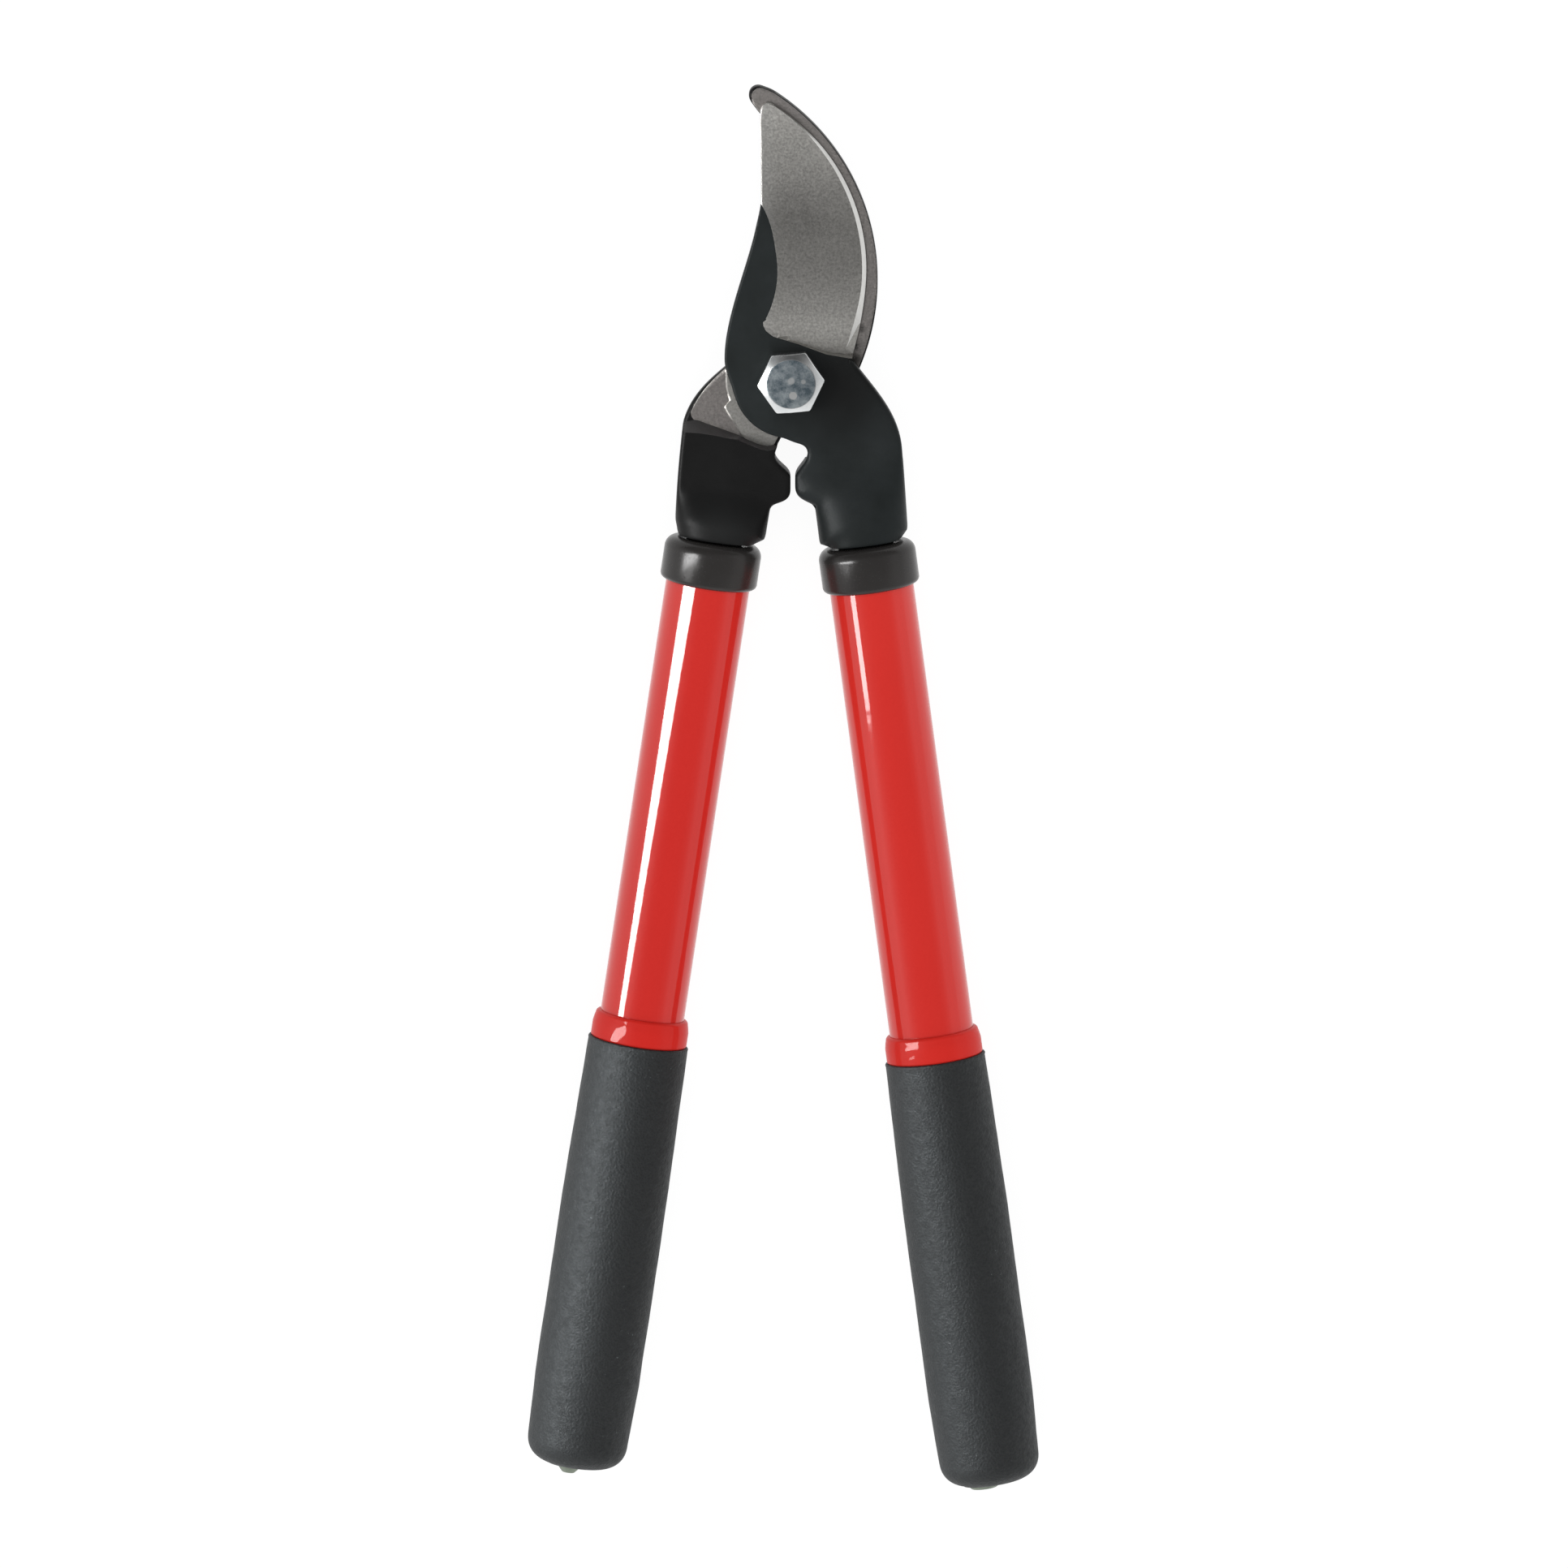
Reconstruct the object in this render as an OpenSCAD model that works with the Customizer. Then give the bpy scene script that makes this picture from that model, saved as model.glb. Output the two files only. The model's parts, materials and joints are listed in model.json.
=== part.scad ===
// Two-handed bypass lopper, lying flat. Millimetres.
// The origin is on the pivot axis, in the plane the tool lies on. +Y points to the blade tip,
// +X to the blade's handle and +Z up, to the head of the pivot bolt.
// The hook half carries the left handle and the bolt. The blade half turns about the bolt.

/* [Head] */
// height of the plane where hook and blade meet, which is also the handles' centre plane
mid_z = 15.3; // [14:0.1:18]
// thickness of the hook's plate
hook_t = 4.6; // [3:0.1:6]
// thickness of the blade's plate
blade_t = 4.8; // [3:0.1:6]
// air between the two plates
plate_gap = 0.15; // [0.1:0.05:0.3]
// radius of the cutting edge's arc
edge_r = 56.3; // [50:0.1:62]
// radius of the arc of the hook's back
hook_back_r = 65.5; // [60:0.1:72]
// radius of both plates round the pivot
boss_r = 16.9; // [15:0.1:18]
// thickness left at the cutting edge
edge_t = 0.25; // [0.15:0.05:0.6]
// radius from the edge arc's centre to the inner border of the ground face
ground_r = 30.6; // [28:0.1:34]
// half height of the round swell where each forging meets its handle
swell_r = 10.2; // [8:0.1:12]

/* [Pivot] */
// bolt shank diameter, M10
bolt_d = 10; // [8:1:12]
// running clearance of the blade on the shank, on the radius
run_gap = 0.06; // [0.02:0.01:0.1]
// wrench size of the bolt head and of the nut
wrench = 17; // [13:1:19]
// height of the bolt head
head_h = 6.4; // [5:0.1:8]
// diameter of the head's round flat top
head_top_d = 14.3; // [12:0.1:16]
// turn of the bolt head about its axis, degrees
head_turn = 2.6; // [0:0.1:30]
// height of the lock nut
nut_h = 7.4; // [6:0.1:10]
// length of bolt that stands out of the nut
bolt_over = 1.3; // [0.5:0.1:3]
// diameter of the washer under the nut
washer_d = 20; // [18:1:22]

/* [Handles] */
// outward tilt of the hook's handle, degrees
hook_tilt = 8.55; // [5:0.05:12]
// outward tilt of the blade's handle, degrees
blade_tilt = 7.6; // [5:0.05:12]
// handle axis to pivot, measured across at the pivot, hook side
hook_off = 15.0; // [12:0.1:18]
// handle axis to pivot, blade side
blade_off = 15.2; // [12:0.1:18]
// outer diameter of the steel tube
tube_d = 24.4; // [20:0.1:28]
// wall of the steel tube
tube_wall = 1.2; // [0.8:0.1:2]
// outer diameter of the plastic ferrule
ferrule_d = 28.2; // [26:0.1:32]
// length of the ferrule
ferrule_l = 12.9; // [10:0.1:18]
// outer diameter of the red ring above each grip
ring_d = 28.0; // [26:0.1:32]
// length of the ring
ring_l = 7.8; // [5:0.1:12]
// foam grip diameter at the ring
grip_top_d = 29.2; // [26:0.1:34]
// foam grip diameter along its lower half
grip_d = 30.6; // [26:0.1:34]
// length of the foam grip
grip_l = 126.4; // [100:0.1:150]
// length of the lower stretch of the grip that is a true cylinder
grip_straight = 55; // [40:1:70]
// length over which the grip tapers to its rounded end
grip_taper_l = 26; // [15:1:40]
// diameter of the grip where its end starts to round
grip_end_d = 29.2; // [26:0.1:32]

/* [Hidden] */
fine = 96;
air = 0.05; // assembly clearance between pieces of one half
hook_side = -1;
blade_side = 1;
// distance along each handle axis, from the pivot's level: ferrule top and grip top
hook_ferrule_t = 47.8;
blade_ferrule_t = 48.8;
hook_grip_t = 196.2;
blade_grip_t = 200.6;
web_t = 2.4; // the ferrule's closed top
plug_flange = 2;
foam_end_t = 3.9; // foam over the tube's end
// vent nubs: radius in the foam, radius of the tip, height of the tip above the foam
hook_nub = [4.0, 1.6, 2.1];
blade_nub = [5.0, 3.6, 1.0];
// how far the vent hole sits off each axis, + towards the right of the plan
hook_nub_shift = -1.4;
blade_nub_shift = -2.4;
tang_w = 16;
tang_t = 7;
tang_l = 44;
pin_d = 5;
bolt_r = bolt_d / 2;
tube_r = tube_d / 2;
bore_r = tube_r - tube_wall;
edge_c = [-34.5, 32.1]; // centre of the cutting edge's arc
back_c = [-40.4, 28.6]; // centre of the hook back's arc
nose_r = 2.3; // the hook's rounded nose
nose_c = [-9.8, 83.2];
blade_z = mid_z + plate_gap;
head_z = blade_z + blade_t + air;

// points along a cubic curve, its first point left out
function curve(a, b, c, d, n) = [for (i = [1 : n]) let (t = i / n, s = 1 - t)
    s * s * s * a + 3 * s * s * t * b + 3 * s * t * t * c + t * t * t * d];

// points along an arc from angle a to angle b
function arc(c, r, a, b, n) = [for (i = [0 : n]) let (w = a + (b - a) * i / n)
    c + r * [cos(w), sin(w)]];

function tilt_of(side) = side < 0 ? hook_tilt : blade_tilt;
function off_of(side) = side < 0 ? hook_off : blade_off;
function ferrule_t_of(side) = side < 0 ? hook_ferrule_t : blade_ferrule_t;
function grip_t_of(side) = side < 0 ? hook_grip_t : blade_grip_t;
function nub_of(side) = side < 0 ? hook_nub : blade_nub;
function nub_shift_of(side) = side < 0 ? hook_nub_shift : blade_nub_shift;
function tube_end_of(side) = grip_t_of(side) + grip_l - foam_end_t - plug_flange;

// puts its children on a handle: local +Z runs down the axis, local +Y is up
module on_handle(side)
    translate([side * off_of(side), 0, mid_z])
        rotate([0, 0, side * tilt_of(side)])
            rotate([90, 0, 0])
                children();

// a slab of an outline between two heights measured from the meeting plane
module slab(low, high)
    translate([0, 0, mid_z + low])
        linear_extrude(high - low)
            children();

// inner side of the hook forging below the pivot: hollow, stop bump and shank
hook_inner = concat(
    curve([-2.9, -16.7], [-2.4, -18.2], [-4.7, -19.6], [-4.7, -22.0], 4),
    curve([-4.7, -22.0], [-4.7, -24.4], [-1.2, -25.6], [-0.1, -28.0], 4),
    [[0.0, -32.2]],
    curve([0.0, -32.2], [-0.2, -36.0], [-3.4, -35.4], [-5.9, -37.0], 4),
    [[-7.2, -45.4], [-7.6, -46.9], [-10.4, -48.2]]);

// outer side of the hook forging, from the ferrule up to the jaw
hook_outer = concat(
    [[-32.7, -45.2], [-33.5, -41.8]],
    curve([-33.5, -41.8], [-33.2, -34.0], [-32.5, -24.0], [-31.2, -13.2], 5),
    curve([-31.2, -13.2], [-29.2, -5.8], [-24.2, -1.2], [-19.0, 3.1], 6));

// inner side of the blade forging below the pivot
blade_inner = concat(
    [[10.7, -49.0], [8.3, -48.2], [6.9, -37.0]],
    curve([6.9, -37.0], [4.4, -35.4], [1.4, -35.0], [1.2, -31.8], 4),
    [[1.1, -28.8]],
    curve([1.1, -28.8], [1.2, -26.2], [4.9, -24.2], [4.9, -21.4], 4),
    curve([4.9, -21.4], [4.9, -19.4], [3.6, -18.7], [1.5, -18.4], 4));

// outer side of the blade forging, from the cutting edge's heel down to the ferrule
blade_outer = concat(
    [[18.0, 5.8], [19.0, 4.2]],
    curve([19.0, 4.2], [24.3, -2.9], [31.0, -9.6], [32.1, -19.6], 8),
    curve([32.1, -19.6], [32.7, -27.0], [33.2, -34.0], [33.8, -43.8], 3),
    [[32.0, -46.4]]);

// whole outline of the hook forging's plate; its back is trimmed to an arc afterwards
hook_outline = concat(
    arc(nose_c, nose_r, 62, 208, 8),
    [[-8.9, 76.9]],
    curve([-8.9, 76.9], [2.0, 67.6], [15.0, 52.0], [14.6, 31.0], 10),
    curve([14.6, 31.0], [14.6, 21.0], [10.0, 16.0], [2.0, 15.2], 6),
    curve([2.0, 15.2], [-7.0, 14.3], [-13.0, 8.0], [-19.0, 3.1], 6),
    [for (i = [len(hook_outer) - 2 : -1 : 0]) hook_outer[i]],
    [[-10.4, -48.2]],
    [for (i = [len(hook_inner) - 2 : -1 : 0]) hook_inner[i]],
    arc([0, 0], boss_r, 260, 345, 10),
    [[30, 0], [34, 40], [20, 80]]);

// whole outline of the blade's plate; its cutting edge is trimmed to an arc afterwards
blade_outline = concat(
    arc([-6.3, 78.3], 2.4, 70, 195, 6),
    curve([-8.6, 77.6], [-8.6, 66.0], [-8.4, 52.0], [-9.8, 44.6], 5),
    curve([-9.8, 44.6], [-12.0, 33.2], [-19.6, 17.0], [-19.2, 5.2], 8),
    curve([-19.2, 5.2], [-18.8, 1.8], [-17.2, -0.6], [-16.7, -3.6], 3),
    arc([0, 0], boss_r, 195, 262, 9),
    [for (i = [len(blade_inner) - 1 : -1 : 0]) blade_inner[i]],
    [for (i = [len(blade_outer) - 1 : -1 : 0]) blade_outer[i]],
    [[24, 10], [30, 40], [10, 90]]);

// the part of each forging that stands up past the meeting plane, below its shoulder
hook_shoulder = [[-40, -8.4], [-30.6, -9.8], [-24.8, -14.0], [-19.4, -16.3], [-15.1, -17.3],
    [-10.8, -19.4], [-6.5, -20.1], [-3.6, -19.2], [2, -19.0], [10, -60], [-60, -60]];
blade_shoulder = [[-2, -22.8], [60, -23.6], [60, -60], [-10, -60]];

// thickening of a forging round the handle axis, with the flat tang
module shank(side, shift) {
    end_t = ferrule_t_of(side);
    on_handle(side)
        translate([shift, 0, 0])
            rotate_extrude($fn = fine)
                polygon([[0, 25], [4.5, 28], [6.4, 32], [9.0, 39], [swell_r, 43.5],
                    [swell_r, end_t - 1.2], [swell_r - 1.2, end_t], [0, end_t]]);
    on_handle(side)
        translate([-tang_w / 2, -tang_t / 2, 40])
            cube([tang_w, tang_t, end_t + tang_l - 40]);
}

module shank_pin_hole(side)
    on_handle(side)
        translate([0, 0, ferrule_t_of(side) + 8])
            rotate([90, 0, 0])
                cylinder(h = 40, d = pin_d + 2 * air, center = true, $fn = fine);

module hook_blade()
    color([0.12, 0.13, 0.14])
        difference() {
            union() {
                intersection() {
                    slab(-hook_t, 0)
                        polygon(hook_outline);
                    translate([back_c[0], back_c[1], 0])
                        cylinder(h = 60, r = hook_back_r, $fn = fine);
                }
                slab(-0.5, blade_t)
                    intersection() {
                        polygon(hook_outline);
                        polygon(hook_shoulder);
                    }
                shank(hook_side, 1.2);
            }
            cylinder(h = 80, r = bolt_r + air, center = true, $fn = fine);
            shank_pin_hole(hook_side);
            // bevel along the outer edge of the hook's back
            translate([back_c[0], back_c[1], mid_z])
                intersection() {
                    rotate_extrude($fn = fine)
                        polygon([[hook_back_r - 0.9, 0.1], [hook_back_r - 0.9, 0],
                            [hook_back_r + 0.1, -1.0], [hook_back_r + 2, -1.0],
                            [hook_back_r + 2, 0.1]]);
                    translate([20, -24, -5])
                        cube([60, 90, 10]);
                }
        }

module cutting_blade()
    color([0.55, 0.55, 0.53])
        difference() {
            union() {
                intersection() {
                    slab(plate_gap, plate_gap + blade_t)
                        polygon(blade_outline);
                    union() {
                        translate([edge_c[0], edge_c[1], 0])
                            cylinder(h = 60, r = edge_r, $fn = fine);
                        translate([-60, -80, 0])
                            cube([120, 86.2, 60]);
                    }
                }
                slab(-hook_t, 0.5)
                    intersection() {
                        polygon(blade_outline);
                        polygon(blade_shoulder);
                    }
                shank(blade_side, -0.3);
            }
            cylinder(h = 80, r = bolt_r + run_gap, center = true, $fn = fine);
            shank_pin_hole(blade_side);
            // ground face and the narrow honed edge
            intersection() {
                translate([edge_c[0], edge_c[1], blade_z])
                    rotate_extrude($fn = fine)
                        polygon([[ground_r, blade_t], [edge_r - 1.4, 1.3],
                            [edge_r, edge_t], [edge_r + 2, edge_t], [edge_r + 2, blade_t + 3],
                            [ground_r, blade_t + 3]]);
                slab(0, 20)
                    polygon([[-8.0, 17.0], [-7.6, 15.0], [-6.2, 13.6], [-4.4, 12.8], [10.0, 7.8],
                        [17.4, 6.4], [40, 6.4], [40, 100], [-20, 100], [-20, 17]]);
            }
        }

module ferrule(side) {
    top = ferrule_t_of(side);
    color([0.23, 0.23, 0.23])
        on_handle(side)
            difference() {
                rotate_extrude($fn = fine)
                    polygon(concat([[0, top], [10.6, top]],
                        arc([ferrule_d / 2 - 3.4, top + 3.4], 3.4, -90, 0, 6),
                        [[ferrule_d / 2, top + ferrule_l - 1.5],
                         [ferrule_d / 2 - 0.7, top + ferrule_l - 0.4],
                         [ferrule_d / 2 - 1.8, top + ferrule_l], [0, top + ferrule_l]]));
                translate([0, 0, top + web_t])
                    cylinder(h = ferrule_l, r = tube_r + air, $fn = fine);
                translate([-tang_w / 2 - air, -tang_t / 2 - air, top - 1])
                    cube([tang_w + 2 * air, tang_t + 2 * air, 10]);
            }
}

module tube(side) {
    top = ferrule_t_of(side) + web_t + air;
    color([0.8, 0.2, 0.18])
        difference() {
            on_handle(side)
                translate([0, 0, top])
                    difference() {
                        cylinder(h = tube_end_of(side) - top, r = tube_r, $fn = fine);
                        translate([0, 0, -1])
                            cylinder(h = 400, r = bore_r, $fn = fine);
                    }
            shank_pin_hole(side);
        }
}

module tang_liner(side) {
    top = ferrule_t_of(side) + web_t + air;
    color([0.85, 0.84, 0.8])
        difference() {
            on_handle(side)
                translate([0, 0, top])
                    difference() {
                        cylinder(h = tang_l - web_t + 1, r = bore_r - air, $fn = fine);
                        translate([-tang_w / 2 - air, -tang_t / 2 - air, -1])
                            cube([tang_w + 2 * air, tang_t + 2 * air, 80]);
                    }
            shank_pin_hole(side);
        }
}

module tang_pin(side)
    color([0.6, 0.6, 0.62])
        on_handle(side)
            translate([0, 0, ferrule_t_of(side) + 8])
                rotate([90, 0, 0])
                    cylinder(h = 2 * tube_r - 0.7, d = pin_d, center = true, $fn = fine);

module grip_ring(side) {
    top = grip_t_of(side) - ring_l;
    r = ring_d / 2;
    color([0.8, 0.2, 0.18])
        on_handle(side)
            difference() {
                rotate_extrude($fn = fine)
                    polygon(concat([[0, top]],
                        arc([r - 1.7, top + 1.2], 1.2, -90, 0, 4),
                        [[r, top + ring_l], [0, top + ring_l]]));
                cylinder(h = 300, r = tube_r + air, $fn = fine);
            }
}

module grip(side) {
    top = grip_t_of(side) + air;
    bottom = grip_t_of(side) + grip_l;
    r = grip_d / 2;
    end_r = grip_end_d / 2;
    color([0.25, 0.26, 0.26])
        on_handle(side)
            difference() {
                rotate_extrude($fn = fine)
                    polygon(concat([[0, top], [grip_top_d / 2 - 0.8, top],
                        [grip_top_d / 2, top + 0.8],
                        [r, bottom - grip_taper_l - grip_straight],
                        [r, bottom - grip_taper_l], [end_r, bottom - 7.6]],
                        curve([end_r, bottom - 7.6], [end_r - 0.2, bottom - 3.4],
                            [end_r - 2.8, bottom - 1.2], [end_r - 6.6, bottom - 0.5], 6),
                        curve([end_r - 6.6, bottom - 0.5], [5.0, bottom - 0.2],
                            [2.5, bottom], [0, bottom], 3)));
                translate([0, 0, top - 1])
                    cylinder(h = grip_l + 1 - foam_end_t, r = tube_r + air, $fn = fine);
                translate([nub_shift_of(side), 0, 0])
                    cylinder(h = 400, r = nub_of(side)[0] + air, $fn = fine);
            }
}

module end_plug(side) {
    end = tube_end_of(side);
    top = end + plug_flange - air;
    foam = end + plug_flange + foam_end_t;
    nub = nub_of(side);
    color([0.3, 0.32, 0.3])
        on_handle(side) {
            rotate_extrude($fn = fine)
                polygon([[0, end - 18], [bore_r - 1, end - 18], [bore_r - air, end - 17],
                    [bore_r - air, end + air], [tube_r, end + air], [tube_r, top], [0, top]]);
            translate([nub_shift_of(side), 0, 0])
                rotate_extrude($fn = fine)
                    polygon([[0, end], [nub[0], end], [nub[0], foam - 0.4],
                        [nub[1], foam + nub[2]], [0, foam + nub[2]]]);
        }
}

module pivot_bolt()
    color([0.7, 0.72, 0.74]) {
        translate([0, 0, head_z])
            rotate([0, 0, head_turn])
                intersection() {
                    cylinder(h = head_h, d = wrench / cos(30), $fn = 6);
                    rotate_extrude($fn = fine)
                        polygon([[0, 0], [14, 0], [14, head_h - (14 - head_top_d / 2) * tan(30)],
                            [head_top_d / 2, head_h], [0, head_h]]);
                }
        rotate_extrude($fn = fine)
            polygon([[0, 0], [bolt_r - 0.9, 0], [bolt_r, 0.9], [bolt_r, head_z + 1],
                [0, head_z + 1]]);
    }

module nut_washer()
    color([0.7, 0.72, 0.74])
        translate([0, 0, bolt_over + nut_h])
            difference() {
                cylinder(h = mid_z - hook_t - nut_h - bolt_over, d = washer_d, $fn = fine);
                translate([0, 0, -1])
                    cylinder(h = 20, r = bolt_r + 0.25, $fn = fine);
            }

module lock_nut()
    color([0.7, 0.72, 0.74])
        translate([0, 0, bolt_over])
            difference() {
                intersection() {
                    rotate([0, 0, 17])
                        cylinder(h = nut_h, d = wrench / cos(30), $fn = 6);
                    rotate_extrude($fn = fine)
                        polygon([[0, 0], [6.6, 0], [7.4, 0.8], [7.4, 2.0], [8.2, 2.0],
                            [10.4, 3.3], [10.4, nut_h - 0.9], [8.8, nut_h], [0, nut_h]]);
                }
                translate([0, 0, -1])
                    cylinder(h = 3, r = 6.4, $fn = fine);
                cylinder(h = 20, r = bolt_r + air, $fn = fine);
            }

module nut_insert()
    color([0.3, 0.45, 0.7])
        translate([0, 0, bolt_over + 0.2])
            difference() {
                cylinder(h = 1.75, r = 6.35, $fn = fine);
                translate([0, 0, -1])
                    cylinder(h = 4, r = bolt_r + air, $fn = fine);
            }

hook_blade();
ferrule(hook_side);  // hook_ferrule
tube(hook_side);  // hook_tube
grip_ring(hook_side);  // hook_grip_ring
grip(hook_side);  // hook_grip
end_plug(hook_side);  // hook_end_plug
tang_pin(hook_side);  // hook_tang_pin
tang_liner(hook_side);  // hook_tang_liner
pivot_bolt();
nut_washer();
lock_nut();
nut_insert();
cutting_blade();
ferrule(blade_side);  // blade_ferrule
tube(blade_side);  // blade_tube
grip_ring(blade_side);  // blade_grip_ring
grip(blade_side);  // blade_grip
end_plug(blade_side);  // blade_end_plug
tang_pin(blade_side);  // blade_tang_pin
tang_liner(blade_side);  // blade_tang_liner
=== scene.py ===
"""Looks of a two-handed bypass lopper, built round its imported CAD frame.

Shapes are worked out in millimetres and become metres as each mesh is made. A "lift" is a
height above the plane where the hook and the blade meet. A handle's own frame has +Z down
its axis, +Y up and +X across, with zero level with the pivot.
"""
import json
import math
from collections import Counter

import bmesh
import bpy
import numpy as np
from mathutils import Matrix, Vector, geometry, noise


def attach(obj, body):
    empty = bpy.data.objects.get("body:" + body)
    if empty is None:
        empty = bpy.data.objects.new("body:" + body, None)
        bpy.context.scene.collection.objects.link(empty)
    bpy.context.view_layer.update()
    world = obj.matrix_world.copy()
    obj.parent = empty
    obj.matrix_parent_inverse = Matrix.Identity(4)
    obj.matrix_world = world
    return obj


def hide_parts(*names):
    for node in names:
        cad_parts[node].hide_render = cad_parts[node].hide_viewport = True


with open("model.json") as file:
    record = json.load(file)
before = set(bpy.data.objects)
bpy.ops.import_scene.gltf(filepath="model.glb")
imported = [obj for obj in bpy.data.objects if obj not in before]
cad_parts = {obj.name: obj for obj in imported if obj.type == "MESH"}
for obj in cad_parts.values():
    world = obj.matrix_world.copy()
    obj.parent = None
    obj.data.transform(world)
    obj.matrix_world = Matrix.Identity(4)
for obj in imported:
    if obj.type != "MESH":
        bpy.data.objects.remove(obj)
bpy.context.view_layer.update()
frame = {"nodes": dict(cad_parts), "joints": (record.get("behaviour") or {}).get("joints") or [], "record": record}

scene = bpy.context.scene

MM = 0.001
UP = Vector((0, 0, 1))

# -------- driving sizes, millimetres
MID = frame["joints"][0]["pos_m"][2] / MM  # height of the plane where the two plates meet
GAP = 0.05  # clearance between neighbouring pieces
BLADE_LIFT = 0.15  # the blade's flat side
BLADE_TOP = 4.95
HOOK_TOP = 4.8  # the hook's block, past its shoulder
PLATE_UNDER = -4.6
SWELL = 10.2  # half height of the round shanks
ROUND_FROM = {"hook": 31.7, "blade": 20.0}  # where a shank's upper side starts to swell
ROUND_FROM_UNDER = 26.0
ROUND_TO = 43.5  # where both shanks are fully round
EDGE_CENTRE = (-34.5, 32.1)
EDGE_R = 56.3
EDGE_LIFT = 0.4  # top of the cutting edge
BACK_CENTRE = (-40.4, 28.6)
BACK_R = 65.5
NOSE_CENTRE = (-9.45, 82.65)
NOSE_R = 2.8
TIP_CENTRE = (-6.35, 78.5)
TIP_R = 2.5
BOSS_R = 16.9
GROUND_R = 30.6  # inner border of the ground face, from the edge's centre
GROUND_SWING = 1.9  # how far that border swings out near the tip
GROUND_FALL = 0.1436  # how fast the ground face falls towards the edge
RUNOUT_SLOPE = 9.0  # steepness of the wall where the ground face runs out
BORE_R = 5.06  # the bolt's hole in both plates
JAW_RIM = 0.2  # coated rim round the hook's ground face
NOSE_RIM = 0.75
SEAT_RIM = 0.95
SEAT_LINE = 0.22  # width of the pale line inside the seat's rim, a painted highlight along the ground face's edge
SEAT_DROP = 0.4  # how far the ground seat is below the pivot pad
PAD_R = 18.5  # the raised pad round the pivot, where it is smallest
PAD_STEP_W = 0.45  # width of the step from the pad down to the seat
END_ROUND = 1.5  # rounding of the shanks' ends
WRENCH = 17.0  # across the flats of the bolt head and the nut
HEAD_TURN = 4.6  # degrees
NUT_TURN = 17.0
TUBE_R = 12.2
TUBE_BORE = 11.0
FERRULE_R = 14.1
FERRULE_L = 12.9
WEB = 2.4  # the ferrule's floor, which the tube stops at
RING_R = 14.0
RING_L = 7.8
GRIP_L = 126.4
FOAM_END = 3.9  # thickness of the foam past the end plug's flange
FLANGE = 2.0  # thickness of that flange, which covers the tube's end
GRIP_R = 15.3
GRIP_END_R = 14.6  # at both ends of the sleeve
NUB = {"hook": (4.0, 1.6, 2.1), "blade": (5.0, 3.6, 1.0)}  # radius, tip radius, height over the foam
NUB_SHIFT = {"hook": -1.4, "blade": -2.4}  # how far the nub is off the handle's axis, along its X
TANG = (16.0, 7.0, 44.0)  # width, depth and length inside the handle
PIN_R = 2.5
PIN_DROP = 8.0  # the cross pin's place below the ferrule's top
FERRULE_T = {"hook": 47.8, "blade": 48.8}  # ferrule top, down each handle axis
GRIP_T = {"hook": 196.2, "blade": 200.6}
WAVES = {"hook": 40.0, "blade": 120.0}  # where each grip's skin is taken from the noise
STEP = 0.6  # spacing of points along an outline
CELL = 1.15  # spacing of points across a face
RINGS = (0.07, 0.25, 0.5, 0.85, 1.3, 2.0)  # rows of points inside an outline
LINE_CLEAR = 0.22  # no loose point is nearer to a line than this
CREASE = math.radians(32)  # edges that turn further than this stay sharp


# -------- plane curves
def curve(a, b, c, d, n):
    """Points along a cubic curve, its first point left out."""
    a, b, c, d = (np.array(p) for p in (a, b, c, d))
    t = np.linspace(0, 1, n + 1)[1:, None]
    s = 1 - t
    return s * s * s * a + 3 * s * s * t * b + 3 * s * t * t * c + t * t * t * d


def spokes(angles):
    """Unit vectors at angles in degrees."""
    turns = np.radians(angles)
    return np.column_stack((np.cos(turns), np.sin(turns)))


def arc(centre, radius, start, end, n):
    return np.array(centre) + radius * spokes(np.linspace(start, end, n + 1))


def run(points, fillet, skin=0):
    """A stretch of outline: its points, the rounding of its edge and its wall's material."""
    points = np.array(points, float)
    return np.column_stack((points, np.full(len(points), fillet), np.full(len(points), skin)))


def even(path, step=STEP, closed=False):
    """The same path with evenly spaced points. Every column is carried along."""
    path = np.vstack((path, path[:1])) if closed else np.array(path, float)
    length = np.hypot(*np.diff(path[:, :2], axis=0).T)
    path = path[np.concatenate(([True], length > 1e-6))]
    reach = np.concatenate(([0], np.cumsum(length[length > 1e-6])))
    count = max(2, round(reach[-1] / step))
    at = np.linspace(0, reach[-1], count + 1)
    if closed:
        at = at[:-1]
    return np.column_stack([np.interp(at, reach, column) for column in path.T])


def soften(loop, passes):
    """Rounds a closed outline's corners a little."""
    for _ in range(passes):
        loop = (np.roll(loop, 1, 0) + 2 * loop + np.roll(loop, -1, 0)) / 4
    return loop


def nearest(points, path, closed=False):
    """Distance of each point from a path, and the path's other columns at the nearest spot."""
    ends = np.vstack((path, path[:1])) if closed else np.array(path, float)
    a, b = ends[:-1], ends[1:]
    step = (b - a)[:, :2]
    size = np.maximum((step ** 2).sum(1), 1e-12)
    found, other = [], []
    for block in np.array_split(points, max(1, len(points) // 1000)):
        away = block[:, None, :] - a[None, :, :2]
        t = np.clip((away * step).sum(2) / size, 0, 1)
        gap = np.hypot(*(away - t[..., None] * step).transpose(2, 0, 1))
        pick = gap.argmin(1)
        row = np.arange(len(block))
        found.append(gap[row, pick])
        other.append(a[pick, 2:] + t[row, pick][:, None] * (b - a)[pick, 2:])
    return np.concatenate(found), np.vstack(other)


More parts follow.
